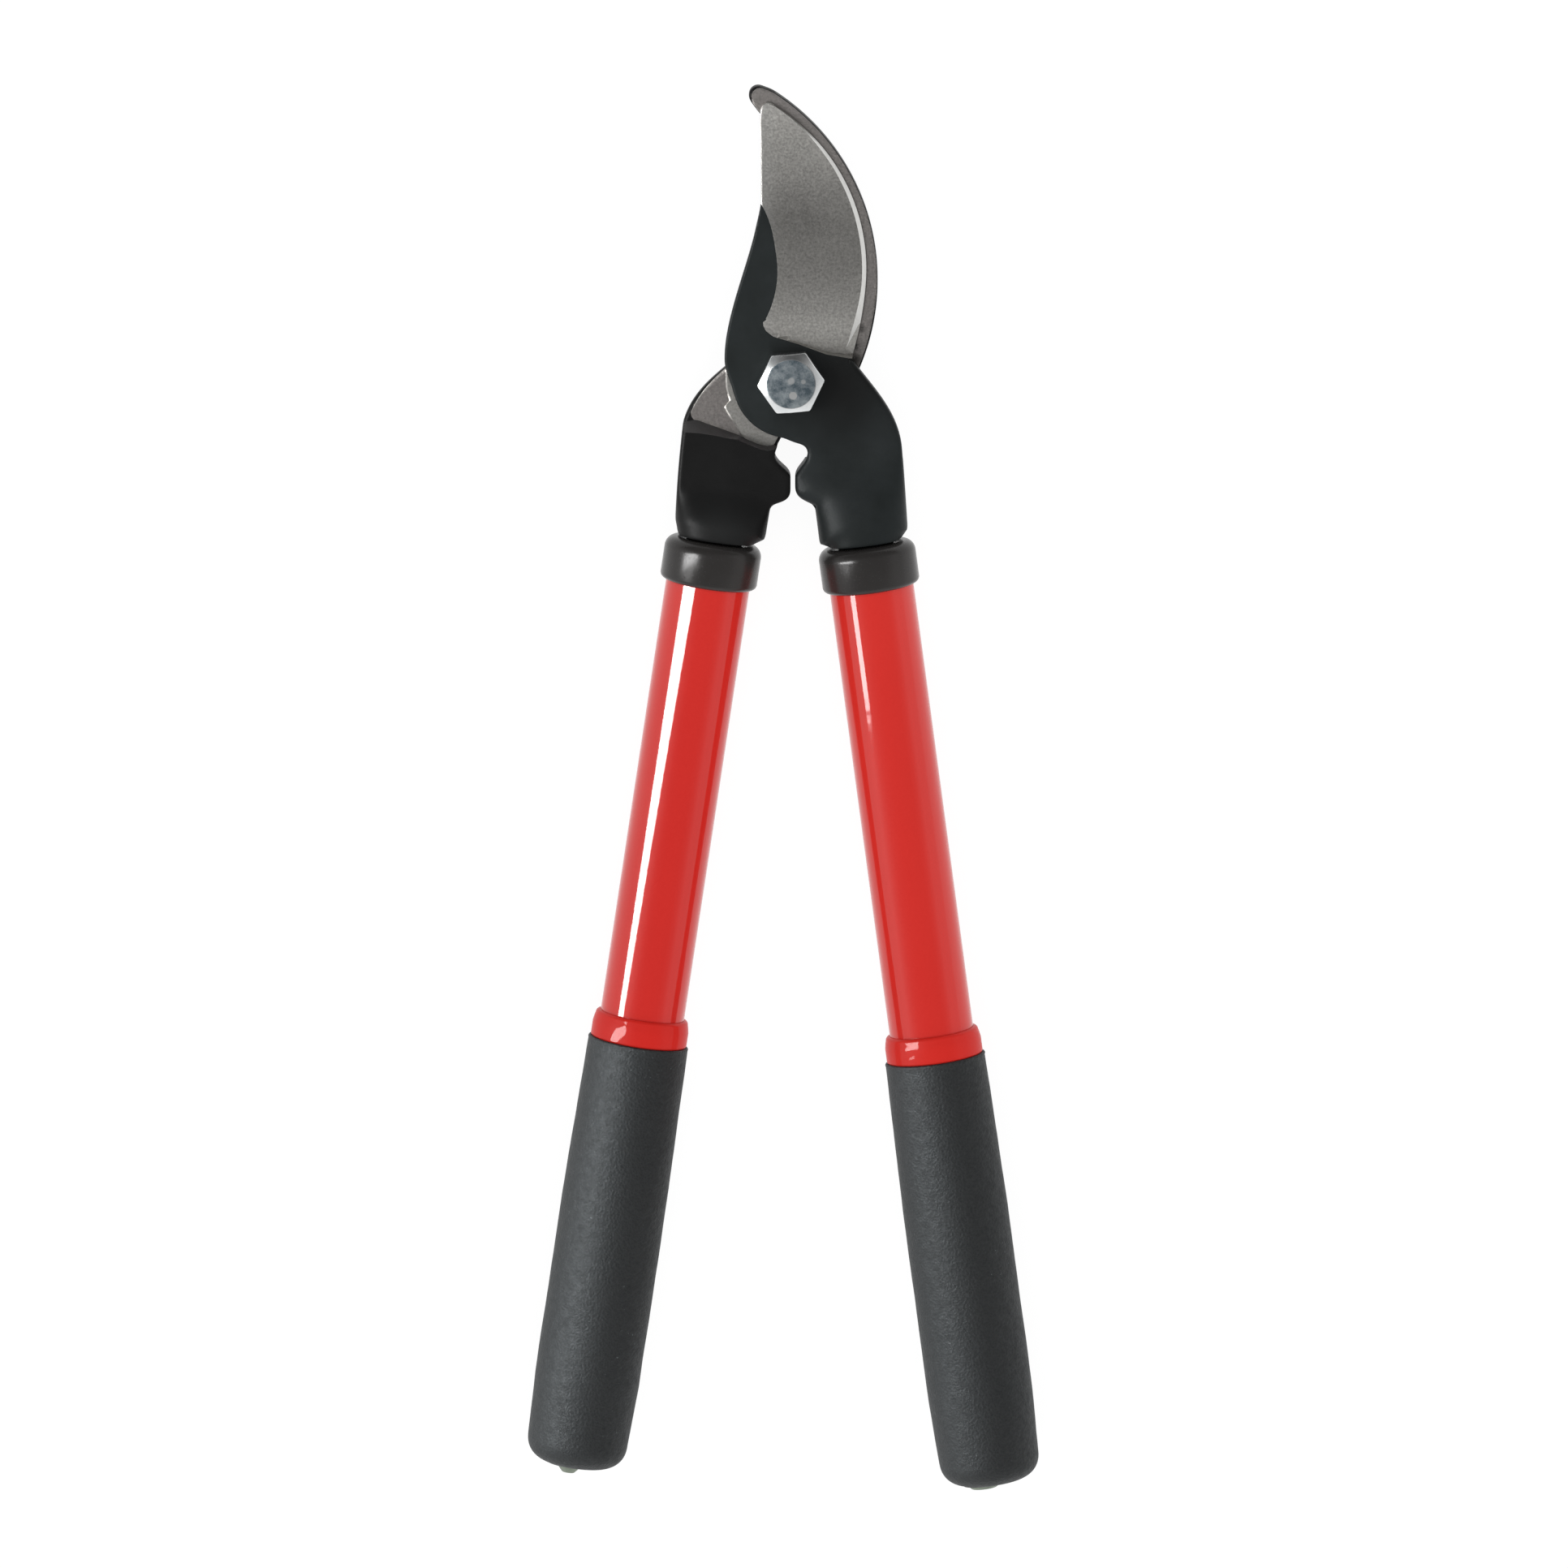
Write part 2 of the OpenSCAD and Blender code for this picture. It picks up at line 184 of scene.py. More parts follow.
def inside(points, loop):
    """True where a point is inside a closed outline."""
    x, y = points.T
    result = np.zeros(len(points), bool)
    for (x1, y1), (x2, y2) in zip(loop, np.roll(loop, -1, 0)):
        if y1 != y2:
            cross = (y1 > y) != (y2 > y)
            result ^= cross & (x < (x2 - x1) * (y - y1) / (y2 - y1) + x1)
    return result


def inset(loop, gap):
    """A closed outline moved inwards, less the points that corners swallow."""
    along = np.roll(loop, -1, 0) - np.roll(loop, 1, 0)
    along /= np.hypot(*along.T)[:, None]
    area = (loop[:, 0] * np.roll(loop[:, 1], -1) - np.roll(loop[:, 0], -1) * loop[:, 1]).sum()
    inwards = np.column_stack((-along[:, 1], along[:, 0])) * math.copysign(1, area)
    moved = loop + np.reshape(gap, (-1, 1)) * inwards
    return moved[nearest(moved, loop, True)[0] > 0.97 * np.ravel(gap)]


def smooth_step(value, low, high):
    """0 up to low, 1 from high on, and an even S between them."""
    t = np.clip((value - low) / (high - low), 0, 1)
    return t * t * (3 - 2 * t)


def drop(gap, radius):
    """How far a rounded edge has fallen at a distance from the outline."""
    inner = np.clip(radius - gap, 0, None)
    return radius - np.sqrt(np.maximum(radius ** 2 - inner ** 2, 0))


# -------- meshes
def make_object(name, bm, skins, place=Matrix(), crease=CREASE, borders=()):
    """Turns a bmesh in metres into a shaded object. Borders are pairs of materials whose
    shared edges stay sharp."""
    bm.transform(place)
    bmesh.ops.remove_doubles(bm, verts=bm.verts, dist=1e-6)
    bmesh.ops.dissolve_degenerate(bm, dist=1e-7, edges=bm.edges)
    bmesh.ops.recalc_face_normals(bm, faces=bm.faces)
    for face in bm.faces:
        face.smooth = True
    for edge in bm.edges:
        if len(edge.link_faces) == 2:
            pair = {face.material_index for face in edge.link_faces}
            edge.smooth = edge.calc_face_angle() < crease and pair not in borders
    mesh = bpy.data.meshes.new(name)
    bm.to_mesh(mesh)
    bm.free()
    for skin in skins:
        mesh.materials.append(skin)
    thing = bpy.data.objects.new(name, mesh)
    scene.collection.objects.link(thing)
    return thing


def turned(name, levels, skin, place=Matrix(), closed=False, sides=128, crease=CREASE, other=None,
           bands=()):
    """A piece turned on a lathe. A level is (radius, height) or (radius, height, shift), or a
    function from an angle in degrees to that. A radius of zero is a pole. bands are the gaps
    between levels that wear the other material."""
    bm = bmesh.new()
    rings = []
    for level in levels:
        shape = level if callable(level) else lambda angle, fixed=level: fixed
        if shape(0.0)[0] < 1e-9:
            spot = tuple(shape(0.0)) + (0.0,)
            rings.append([bm.verts.new((spot[2] * MM, 0, spot[1] * MM))] * sides)
            continue
        ring = []
        for i in range(sides):
            angle = 360 * i / sides
            radius, height, shift = (tuple(shape(angle)) + (0.0,))[:3]
            x = radius * math.cos(math.radians(angle)) + shift
            y = radius * math.sin(math.radians(angle))
            ring.append(bm.verts.new((x * MM, y * MM, height * MM)))
        rings.append(ring)
    pairs = list(zip(rings, rings[1:] + rings[:1]))
    for band, (low, high) in enumerate(pairs if closed else pairs[:-1]):
        for i in range(sides):
            j = (i + 1) % sides
            corners = list(dict.fromkeys((low[i], low[j], high[j], high[i])))
            if len(corners) > 2:
                bm.faces.new(corners).material_index = int(band in bands)
    return make_object(name, bm, [skin, other] if other else [skin], place, crease)


def carve(thing, tool):
    """Cuts the tool's shape out of a piece, and throws the tool away."""
    cut = thing.modifiers.new("carve", "BOOLEAN")
    cut.operation = "DIFFERENCE"
    cut.solver = "EXACT"
    cut.object = tool
    graph = bpy.context.evaluated_depsgraph_get()
    mesh = bpy.data.meshes.new_from_object(thing.evaluated_get(graph))
    thing.modifiers.clear()
    thing.data = mesh
    bpy.data.objects.remove(tool)


def block(name, low, high, place, skin):
    """A slab with softened edges between two corners, in millimetres."""
    bm = bmesh.new()
    low, high = Vector(low), Vector(high)
    shape = Matrix.Translation((high + low) / 2 * MM) @ Matrix.Diagonal((*(high - low) * MM, 1))
    bmesh.ops.create_cube(bm, size=1, matrix=shape)
    bmesh.ops.bevel(bm, geom=bm.edges[:], offset=0.4 * MM, segments=3, affect="EDGES")
    return make_object(name, bm, [skin], place)


def plan_of(loop, bore, lines):
    """Points and triangles that fill an outline less its bore. Triangle edges follow each line."""
    points, edges = [], []

    def keep(path, closed):
        first = len(points)
        count = len(path)
        points.extend(path)
        links = count if closed else count - 1
        edges.extend((first + i, first + (i + 1) % count) for i in range(links))

    keep(loop, True)
    keep(bore, True)
    for line in lines:
        keep(line, False)
    low, high = loop.min(0), loop.max(0)
    rows = np.arange(low[1], high[1], CELL * math.sqrt(0.75))
    columns = np.arange(low[0], high[0], CELL)
    grid = np.array([(x + CELL / 2 * (i % 2), y) for i, y in enumerate(rows) for x in columns])
    grid = grid[inside(grid, loop)]
    grid = grid[nearest(grid, loop, True)[0] > RINGS[-1] + 0.6 * CELL]
    loose = np.vstack([inset(loop, gap) for gap in RINGS] + [grid])
    for line in [np.vstack((bore, bore[:1]))] + lines:
        loose = loose[nearest(loose, line)[0] > LINE_CLEAR]
    loose = loose[np.hypot(*loose.T) > BORE_R]
    points.extend(loose)
    plan = geometry.delaunay_2d_cdt([Vector(p) for p in points], edges, [], 0, 1e-4)
    flat = np.array([tuple(v) for v in plan[0]])
    faces = np.array([f for f in plan[2] if len(f) == 3])
    centres = flat[faces].mean(1)
    return flat, faces[inside(centres, loop) & (np.hypot(*centres.T) > BORE_R * 0.99)]


def forged(name, outline, bore, lines, top, under, zone, skins, borders):
    """A forging as two height fields over one plan, joined by walls. top and under give the
    lifts, and zone the material of each face."""
    flat, faces = plan_of(outline[:, :2], bore, lines)
    gap, other = nearest(flat, outline, True)
    lifts = [field(flat[:, 0], flat[:, 1], gap, other[:, 0]) for field in (top, under)]
    lifts[0] = np.maximum(lifts[0], lifts[1] + 0.02)
    centres = flat[faces].mean(1)
    middle_gap = nearest(centres, outline, True)[0]
    bm = bmesh.new()
    layers = []
    for lift in lifts:
        spots = [(x * MM, y * MM, (MID + z) * MM) for (x, y), z in zip(flat, lift)]
        layers.append([bm.verts.new(spot) for spot in spots])
    for side, layer in enumerate(layers):
        skin = zone(centres[:, 0], centres[:, 1], middle_gap, side == 0)
        for corners, index in zip(faces, skin):
            face = bm.faces.new([layer[i] for i in corners])
            face.material_index = int(index)
    used = Counter(frozenset(pair) for face in faces for pair in zip(face, np.roll(face, -1)))
    for (i, j), count in used.items():
        if count == 1:
            face = bm.faces.new((layers[0][i], layers[0][j], layers[1][j], layers[1][i]))
            face.material_index = int(round(other[i, 1]))
    for vert in [v for v in bm.verts if not v.link_faces]:
        bm.verts.remove(vert)
    return make_object(name, bm, skins, borders=borders)


# -------- materials
def linear(red, green, blue):
    """An sRGB colour from 0 to 255 as linear values."""
    shares = [level / 255 for level in (red, green, blue)]
    return tuple(c / 12.92 if c < 0.0404 else ((c + 0.055) / 1.055) ** 2.4 for c in shares)


class Graph:
    """The nodes of a material or of the world."""

    def __init__(self, tree):
        self.tree = tree

    def add(self, kind, inputs=(), **settings):
        """A new node, with each input linked to a socket or set to a value."""
        made = self.tree.nodes.new("ShaderNode" + kind)
        for setting, value in settings.items():
            setattr(made, setting, value)
        for socket, value in dict(inputs).items():
            if isinstance(value, bpy.types.NodeSocket):
                self.tree.links.new(value, made.inputs[socket])
            else:
                made.inputs[socket].default_value = value
        return made

    def fit(self, value, low=0.3, high=0.7, out_low=0.0, out_high=1.0, **settings):
        """Stretches a range, by default the one that noise mostly keeps to, over another."""
        ends = {"From Min": low, "From Max": high, "To Min": out_low, "To Max": out_high}
        return self.add("MapRange", {"Value": value, **ends}, **settings).outputs["Result"]

    def ramp(self, value, stops):
        """A colour that follows a value. stops are (place, linear colour), from 0 to 1."""
        made = self.add("ValToRGB", {"Fac": value})
        marks = made.color_ramp.elements
        for place, _ in stops[2:]:
            marks.new(place)
        for mark, (place, colour) in zip(marks, stops):
            mark.position = place
            mark.color = (*colour, 1)
        return made.outputs["Color"]

    def times(self, first, second):
        return self.add("Math", {0: first, 1: second}, operation="MULTIPLY").outputs["Value"]

    def plus(self, first, second):
        return self.add("Math", {0: first, 1: second}, operation="ADD").outputs["Value"]


class Skin(Graph):
    """A procedural material under construction, in the object's own metres."""

    def __init__(self, name, **settings):
        self.material = bpy.data.materials.new(name)
        self.material.use_nodes = True
        super().__init__(self.material.node_tree)
        self.shader = self.tree.nodes["Principled BSDF"]
        self.place = self.add("TexCoord").outputs["Object"]
        for socket, value in settings.items():
            self.shader.inputs[socket.replace("_", " ")].default_value = value

    def stretched(self, x, y, z):
        """The object's place, scaled along each axis."""
        return self.add("Mapping", {"Vector": self.place, "Scale": (x, y, z)}).outputs["Vector"]

    def noise(self, scale, detail=3.0, roughness=0.55, place=None):
        """Cloudy noise from 0 to 1, with scale in cells per metre."""
        inputs = {"Vector": place or self.place, "Scale": scale, "Detail": detail}
        return self.add("TexNoise", {**inputs, "Roughness": roughness}).outputs["Fac"]

    def cells(self, scale):
        """Distance from the middle of the nearest foam cell."""
        return self.add("TexVoronoi", {"Vector": self.place, "Scale": scale}).outputs["Distance"]

    def blend(self, factor, first, second):
        """A mix of two colours, the first where the factor is 0. Plain colours are sRGB."""
        made = self.add("Mix", {"Factor": factor}, data_type="RGBA")
        for socket, value in ((made.inputs[6], first), (made.inputs[7], second)):
            if isinstance(value, bpy.types.NodeSocket):
                self.tree.links.new(value, socket)
            else:
                socket.default_value = (*linear(*value), 1)
        return made.outputs[2]

    def near(self, spot, reach):
        """1 at a spot in metres, falling to 0 at a distance of reach."""
        gap = self.add("VectorMath", {0: self.place, 1: spot}, operation="DISTANCE").outputs["Value"]
        return self.fit(gap, 0.0, reach, 1.0, 0.0, interpolation_type="SMOOTHSTEP")

    def colour(self, socket):
        self.tree.links.new(socket, self.shader.inputs["Base Color"])

    def two_tone(self, cloud, dark, light):
        self.colour(self.blend(self.fit(cloud), dark, light))

    def rough(self, value, low, high, start=0.3, end=0.7):
        """Roughness from low to high as a value goes from start to end."""
        self.tree.links.new(self.fit(value, start, end, low, high), self.shader.inputs["Roughness"])

    def bump(self, height, distance, strength=1.0, sockets=("Normal",)):
        made = self.add("Bump", {"Height": height, "Distance": distance, "Strength": strength})
        for socket in sockets:
            self.tree.links.new(made.outputs["Normal"], self.shader.inputs[socket])


def black_coat(name, dark, light, patch):
    """Black oxide coat. patch is an area of another colour: its place, reach, colour and depth."""
    skin = Skin(name, Specular_IOR_Level=0.09)
    cloud = skin.noise(70, 5)
    speckle = skin.noise(1700, 2)
    base = skin.blend(skin.fit(cloud), dark, light)
    spot, reach, tone, depth = patch
    base = skin.blend(skin.times(skin.near(spot, reach), depth), base, tone)
    chips = skin.fit(skin.noise(420, 4, 0.7), 0.71, 0.76, 0.0, 0.4)
    skin.colour(skin.blend(chips, base, (60, 62, 62)))
    skin.rough(speckle, 0.4, 0.52, 0.25, 0.75)
    skin.bump(skin.plus(speckle, skin.times(skin.noise(260, 3), 0.8)), 0.00003, 0.6)
    return skin.material


def ground_steel(name, tones, painted_darks, tint=(1.0, 0.99, 0.965), spine_sheen=0.0):
    """Ground bare steel. tones are grey levels at places along the tool, in millimetres; on the blade they paint a
    reflection, lighter at the tip and by the pivot. The dark patches, each a place, reach and depth, are painted
    shade and a painted reflection. The spine share paints the blade's thick side lighter, also a painted
    reflection."""
    skin = Skin(name, Metallic=0.85)
    grain = skin.noise(1500, 3, 0.7)
    lay = skin.noise(1.0, 3, 0.6, skin.stretched(170, 1500, 300))
    cloud = skin.noise(45, 5)
    split = skin.add("SeparateXYZ", {"Vector": skin.place})
    low, high = tones[0][0], tones[-1][0]
    stops = [((spot - low) / (high - low), linear(*(grey * share for share in tint)))
             for spot, grey in tones]
    tone = skin.ramp(skin.fit(split.outputs["Y"], low * MM, high * MM), stops)
    # painted reflection: the blade's thick side is painted lighter near the spine
    sheen_near_spine = skin.fit(split.outputs["X"], -8.5 * MM, -4 * MM, spine_sheen, 0.0)
    light = skin.blend(sheen_near_spine, tone, (205, 204, 202))
    rest = skin.plus(skin.times(lay, 0.08), skin.times(cloud, 0.26))
    mix = skin.plus(skin.times(grain, 0.66), rest)
    dark = skin.add("Mix", {"Factor": 1.0, 6: light, 7: (0.69, 0.69, 0.69, 1)},
                    data_type="RGBA", blend_type="MULTIPLY").outputs[2]
    base = skin.blend(skin.fit(mix, 0.38, 0.62), dark, light)
    mottle = skin.noise(420, 5, 0.7)
    # the dark patches are painted shade and a painted reflection, broken up by the mottle
    for spot, reach, depth in painted_darks:
        shade = skin.times(skin.near(spot, reach), skin.fit(mottle, 0.35, 0.6, 0.25 * depth, depth))
        base = skin.blend(shade, base, (42, 42, 41))
    skin.colour(base)
    skin.rough(grain, 0.38, 0.52)
    skin.bump(skin.plus(grain, skin.times(lay, 0.4)), 0.000015, 0.5)
    return skin.material


def honed_steel():
    skin = Skin("honed_steel", Metallic=1.0)
    lines = skin.noise(1.0, 2, 0.6, skin.stretched(2500, 500, 500))
    skin.two_tone(lines, (222, 221, 218), (236, 236, 233))
    skin.rough(lines, 0.3, 0.36)
    return skin.material


def zinc_plate():
    skin = Skin("zinc_plate", Metallic=1.0)
    cloud = skin.noise(260, 4, 0.6)
    skin.two_tone(cloud, (222, 226, 227), (240, 241, 241))
    skin.rough(cloud, 0.2, 0.28)
    skin.bump(skin.noise(700, 3), 0.00001, 0.4)
    return skin.material


# pale spots on the bolt head: place, reach, threshold and depth
HEAD_SPOTS = (((0.0006, -0.0034), 0.0019, 0.45, 0.95), ((0.0001, 0.0009), 0.0025, 0.75, 0.6),
              ((0.0036, 0.0007), 0.0017, 0.75, 0.6))


def head_flat():
    """The bolt head's flat top: plating gone patchy and dull, with three pale spots."""
    skin = Skin("dull_zinc", Metallic=0.9)
    cloud = skin.noise(260, 5, 0.6)
    fine = skin.noise(2600, 2)
    mix = skin.plus(skin.times(cloud, 0.8), skin.times(fine, 0.2))
    base = skin.blend(skin.fit(mix, 0.4, 0.6), (98, 112, 121), (164, 172, 176))
    for spot, reach, start, depth in HEAD_SPOTS:
        pale = skin.plus(skin.near((*spot, 0.0266), reach), skin.times(cloud, 0.4))
        base = skin.blend(skin.fit(pale, start, start + 0.2, 0.0, depth), base, (200, 201, 200))
    skin.colour(base)
    skin.rough(cloud, 0.34, 0.44)
    skin.bump(fine, 0.000005, 0.3)
    return skin.material


def ferrule_plastic():
    skin = Skin("ferrule_plastic", Specular_IOR_Level=0.26)
    cloud = skin.noise(60, 4)
    fine = skin.noise(1500, 2)
    skin.two_tone(cloud, (44, 42, 41), (50, 48, 47))
    skin.rough(fine, 0.2, 0.28)
    skin.bump(skin.plus(fine, skin.times(cloud, 0.3)), 0.000012, 0.5)
    return skin.material


def red_gloss(name, roughness, coat, peel_depth):
    """Red gloss with a slight orange peel. peel_depth is in metres."""
    skin = Skin(name, Coat_Weight=coat, Coat_Roughness=0.03, Specular_IOR_Level=0.05)
    cloud = skin.noise(9, 3, 0.5, skin.stretched(1, 1, 0.5))
    fleck = skin.noise(1400, 2)
    mix = skin.plus(skin.times(cloud, 0.8), skin.times(fleck, 0.2))
    skin.colour(skin.blend(skin.fit(mix, 0.35, 0.65), (209, 39, 32), (217, 46, 38)))
    skin.rough(fleck, roughness, roughness + 0.1)
    peel = skin.noise(190, 2, 0.4)
    skin.bump(peel, peel_depth, 0.25, ("Normal", "Coat Normal"))
    return skin.material


def grip_foam():
    """Fine closed foam: dark pits, a greyer skin between them and a few pale specks."""
    skin = Skin("grip_foam", Specular_IOR_Level=0.62, Specular_Tint=(0.88, 0.96, 1.0, 1.0))
    cloud = skin.noise(30, 5, 0.6)
    cell = skin.cells(1300)
    fine = skin.noise(1300, 3, 0.8)
    base = skin.blend(skin.fit(cloud), (15, 14, 13), (20, 18, 17))
    base = skin.blend(skin.fit(fine, 0.38, 0.62, 0.0, 0.7), base, (30, 29, 28))
    pits = skin.fit(skin.plus(cell, skin.times(fine, 0.5)), 0.3, 0.8, 0.8, 0.0)
    base = skin.blend(pits, base, (9, 8, 8))
    dots = skin.fit(skin.noise(900, 2, 0.7), 0.68, 0.73)
    specks = skin.times(dots, skin.fit(skin.noise(45, 2), 0.5, 0.65))
    skin.colour(skin.blend(skin.times(specks, 0.4), base, (110, 116, 116)))
    skin.rough(skin.noise(500, 4, 0.7), 0.58, 0.72, 0.35, 0.65)
    skin.bump(skin.plus(cell, skin.times(fine, 0.9)), 0.0002, 0.6)
    return skin.material


def plug_plastic():
    skin = Skin("plug_plastic")
    skin.two_tone(skin.noise(300, 4), (98, 108, 94), (124, 134, 118))
    skin.rough(skin.noise(900), 0.45, 0.6)
    return skin.material


def pin_steel():
    skin = Skin("pin_steel", Metallic=1.0)
    lines = skin.noise(1.0, 2, 0.5, skin.stretched(300, 300, 4000))
    skin.colour(skin.blend(lines, (150, 150, 154), (196, 196, 200)))
    skin.rough(lines, 0.25, 0.4)
    return skin.material


def moulded(name, dark, light):
    skin = Skin(name)
    skin.two_tone(skin.noise(200, 4), dark, light)
    skin.rough(skin.noise(1200), 0.4, 0.55)
    skin.bump(skin.noise(1200), 0.00003, 0.4)
    return skin.material


# the hook's patch paints the top of its round shank lighter: a painted sheen
HOOK_COAT = black_coat("black_coat_hook", (19, 19, 19), (25, 25, 25),
                       ((-0.021, -0.043, 0.025), 0.016, (40, 41, 41), 0.8))
BLADE_COAT = black_coat("black_coat_blade", (32, 36, 36), (41, 45, 46),
                        ((0.014, -0.001, 0.0203), 0.026, (20, 20, 20), 0.9))
SHOULDER = black_coat("black_coat_worn", (66, 64, 64), (78, 76, 76),
                      ((-0.03, -0.012, 0.018), 0.008, (60, 60, 60), 0.5))
# The blade's tones paint a reflection, lighter at the tip and by the pivot and darker between; its first dark
# patch is a painted reflection, its second painted shade at the heel beside the hook, and its spine share paints
# the thick side lighter as a reflection.
BLADE_FACE = ground_steel(
    "ground_blade",
    ((8, 182), (16, 197), (21, 180), (26, 164), (33, 151),
     (46, 150), (54, 166), (60, 182), (68, 195), (80, 212)),
    (((0.002, 0.0485, 0.018), 0.012, 0.22), ((0.0188, 0.0062, 0.016), 0.0026, 0.6)),
    spine_sheen=0.3)
# The hook's three mottled dark patches at the heel are painted shade beside the blade's edge.
HOOK_FACE = ground_steel(
    "ground_hook",
    ((-20, 148), (0, 146), (20, 141), (80, 150)),
    (((0.019, 0.0095, 0.0153), 0.0032, 0.95), ((0.0182, 0.0055, 0.0153), 0.003, 0.95),
     ((0.0202, 0.0145, 0.0153), 0.0022, 0.8)),
    (1.0, 0.97, 0.95))
# the pad's paler ground steel, also worn by the pale line inside the seat's rim, which is a painted highlight
POLISH_AND_HIGHLIGHT = ground_steel("ground_hook_pad_and_highlight", ((-20, 170), (10, 170)), ())
# the step from the pad down to the seat: its near-white band a little below the pivot is a painted highlight on
# the step's edge
PAD_STEP = ground_steel(
    "pad_step_painted_highlight",
    ((-20, 165), (-12.5, 170), (-11, 250), (-5.5, 250), (-4.5, 145), (4, 130)),
    ())
HONED = honed_steel()
ZINC = zinc_plate()
HEAD_TOP = head_flat()
FERRULE = ferrule_plastic()
PAINT = red_gloss("red_paint_gloss", 0.3, 0.85, 0.00003)
RED_PLASTIC = red_gloss("red_ring_plastic", 0.4, 0.25, 0.000004)
FOAM = grip_foam()
PLUG = plug_plastic()
PIN = pin_steel()
LINER = moulded("liner_nylon", (205, 202, 190), (225, 222, 210))
INSERT = moulded("insert_nylon", (40, 74, 140), (56, 96, 168))


# -------- the two handle frames
def handle_place(half):
    """A handle's own frame, from the axis of its grip's mount."""
    mount = next(m for m in frame["record"]["mounts"] if m["name"] == half + "_grip_hold")
    along = Vector(mount["axis"])
    start = Vector(mount["pos_m"])
    start -= along * (start.y / along.y)
    place = Matrix((UP.cross(along), UP, along)).transposed().to_4x4()
    place.translation = start
    return place


PLACE = {half: handle_place(half) for half in ("hook", "blade")}


def down_handle(half, x, y):
    """Distance along a handle's axis from the pivot's level, for points of the plan."""
    along = PLACE[half].col[2]
    start = PLACE[half].translation / MM
    return (x - start.x) * along.x + (y - start.y) * along.y


# -------- outlines of the forgings
def round_edge(reach, start, end, n):
    """A line round the cutting edge's centre, with its radius as a function of the angle."""
    angles = np.linspace(start, end, n)
    return np.array(EDGE_CENTRE) + reach(angles)[:, None] * spokes(angles)


def edge_reach(angle):
    """Radius of the cutting edge, which swells a little at the heel."""
    return EDGE_R + 2.0 * np.clip((-5 - angle) / 22, 0, 1) ** 2


hook_inner = np.vstack((
    curve((-2.9, -16.7), (-2.4, -18.2), (-4.7, -19.6), (-4.7, -22.0), 8),
    curve((-4.7, -22.0), (-4.7, -24.4), (-1.2, -25.6), (-0.1, -28.0), 10),
    curve((0.0, -32.2), (-0.2, -36.0), (-3.4, -35.4), (-5.9, -37.0), 12),
    [(-7.2, -45.4), (-7.6, -46.9), (-10.4, -48.2)]))
hook_outer = np.vstack((
    [(-32.7, -45.2)],
    curve((-33.5, -41.8), (-33.2, -34.0), (-32.5, -24.0), (-31.2, -13.2), 24),
    curve((-31.2, -13.2), (-29.2, -5.8), (-24.2, -1.2), (-19.0, 3.1), 24)))
blade_inner = np.vstack((
    [(10.7, -49.0), (8.3, -48.2), (6.9, -37.0)],
    curve((6.9, -37.0), (4.4, -35.4), (1.4, -35.0), (1.2, -31.8), 12),
    curve((1.1, -28.8), (1.2, -26.2), (4.9, -24.2), (4.9, -21.4), 12),
    curve((4.9, -21.4), (4.9, -19.4), (3.6, -18.7), (1.5, -18.4), 8)))
blade_outer = np.vstack((
    [(18.0, 5.8), (19.0, 4.2)],
    curve((19.0, 4.2), (24.3, -2.9), (31.0, -9.6), (32.1, -19.6), 24),
    curve((32.1, -19.6), (32.7, -27.0), (33.2, -34.0), (33.8, -43.8), 16),
    [(32.0, -46.4)]))

hook_outline = soften(even(np.vstack((
    run(arc((0, 0), BOSS_R, 262, 344, 30), 0.5),
    run(arc(BACK_CENTRE, BACK_R, -30, 57.6, 120), 0.35),
    run(arc(NOSE_CENTRE, NOSE_R, 84, 208, 14), 0.6),
    run([(-10.6, 79.5), (-8.7, 77.0)], 0.4),
    run(curve((-8.7, 77.0), (2.0, 67.6), (15.0, 52.0), (14.6, 31.0), 60), 0.4),
    run(curve((14.6, 31.0), (14.6, 21.0), (10.0, 16.0), (2.0, 15.2), 24), 0.4),
    run(curve((2.0, 15.2), (-7.0, 14.3), (-13.0, 8.0), (-19.0, 3.1), 30), 0.6),
    run(hook_outer[::-1][1:], 1.0),
    run(hook_inner[::-1], 1.3))), STEP, True), 3)

blade_outline = soften(even(np.vstack((
    run(round_edge(edge_reach, -27.0, 58.0, 131), 0.0, 1),
    run(arc(TIP_CENTRE, TIP_R, 64, 195, 12), 0.35, 1),
    run(curve((-9.0, 77.6), (-8.7, 69.0), (-8.6, 60.0), (-8.6, 53.0), 30), 0.25),
    run(curve((-8.6, 53.0), (-8.7, 50.0), (-9.6, 47.0), (-10.1, 44.6), 12), 0.4),
    run(curve((-10.1, 44.6), (-12.4, 33.2), (-19.6, 17.0), (-19.2, 5.2), 50), 0.6),
    run(curve((-19.2, 5.2), (-18.8, 1.8), (-17.2, -0.6), (-16.7, -3.6), 12), 0.8),
    run(arc((0, 0), BOSS_R, 195, 262, 30), 0.7),
    run(blade_inner[::-1], 1.3),
    run(blade_outer[::-1], 1.2),
    run([(16.2, 6.3)], 0.3))), STEP, True), 3)

# the foot and the crest of the shoulder between the hook's seat and its shank
hook_foot = np.array([
    (-40, -13.6), (-31.4, -12.8), (-28.0, -12.2), (-26.9, -12.3), (-24.6, -13.2), (-19.9, -14.9),
    (-15.2, -16.6), (-13.3, -17.6), (-9.3, -19.3), (-6.9, -19.8), (-3.2, -19.2), (2, -19.0)])
hook_crest = np.array([
    (-40, -15.2), (-30.9, -15.1), (-26.9, -15.3), (-22.2, -16.0), (-17.5, -17.0), (-15.2, -17.3),
    (-13.3, -18.2), (-9.3, -19.9), (-6.9, -20.5), (-3.2, -19.9), (2, -19.7)])
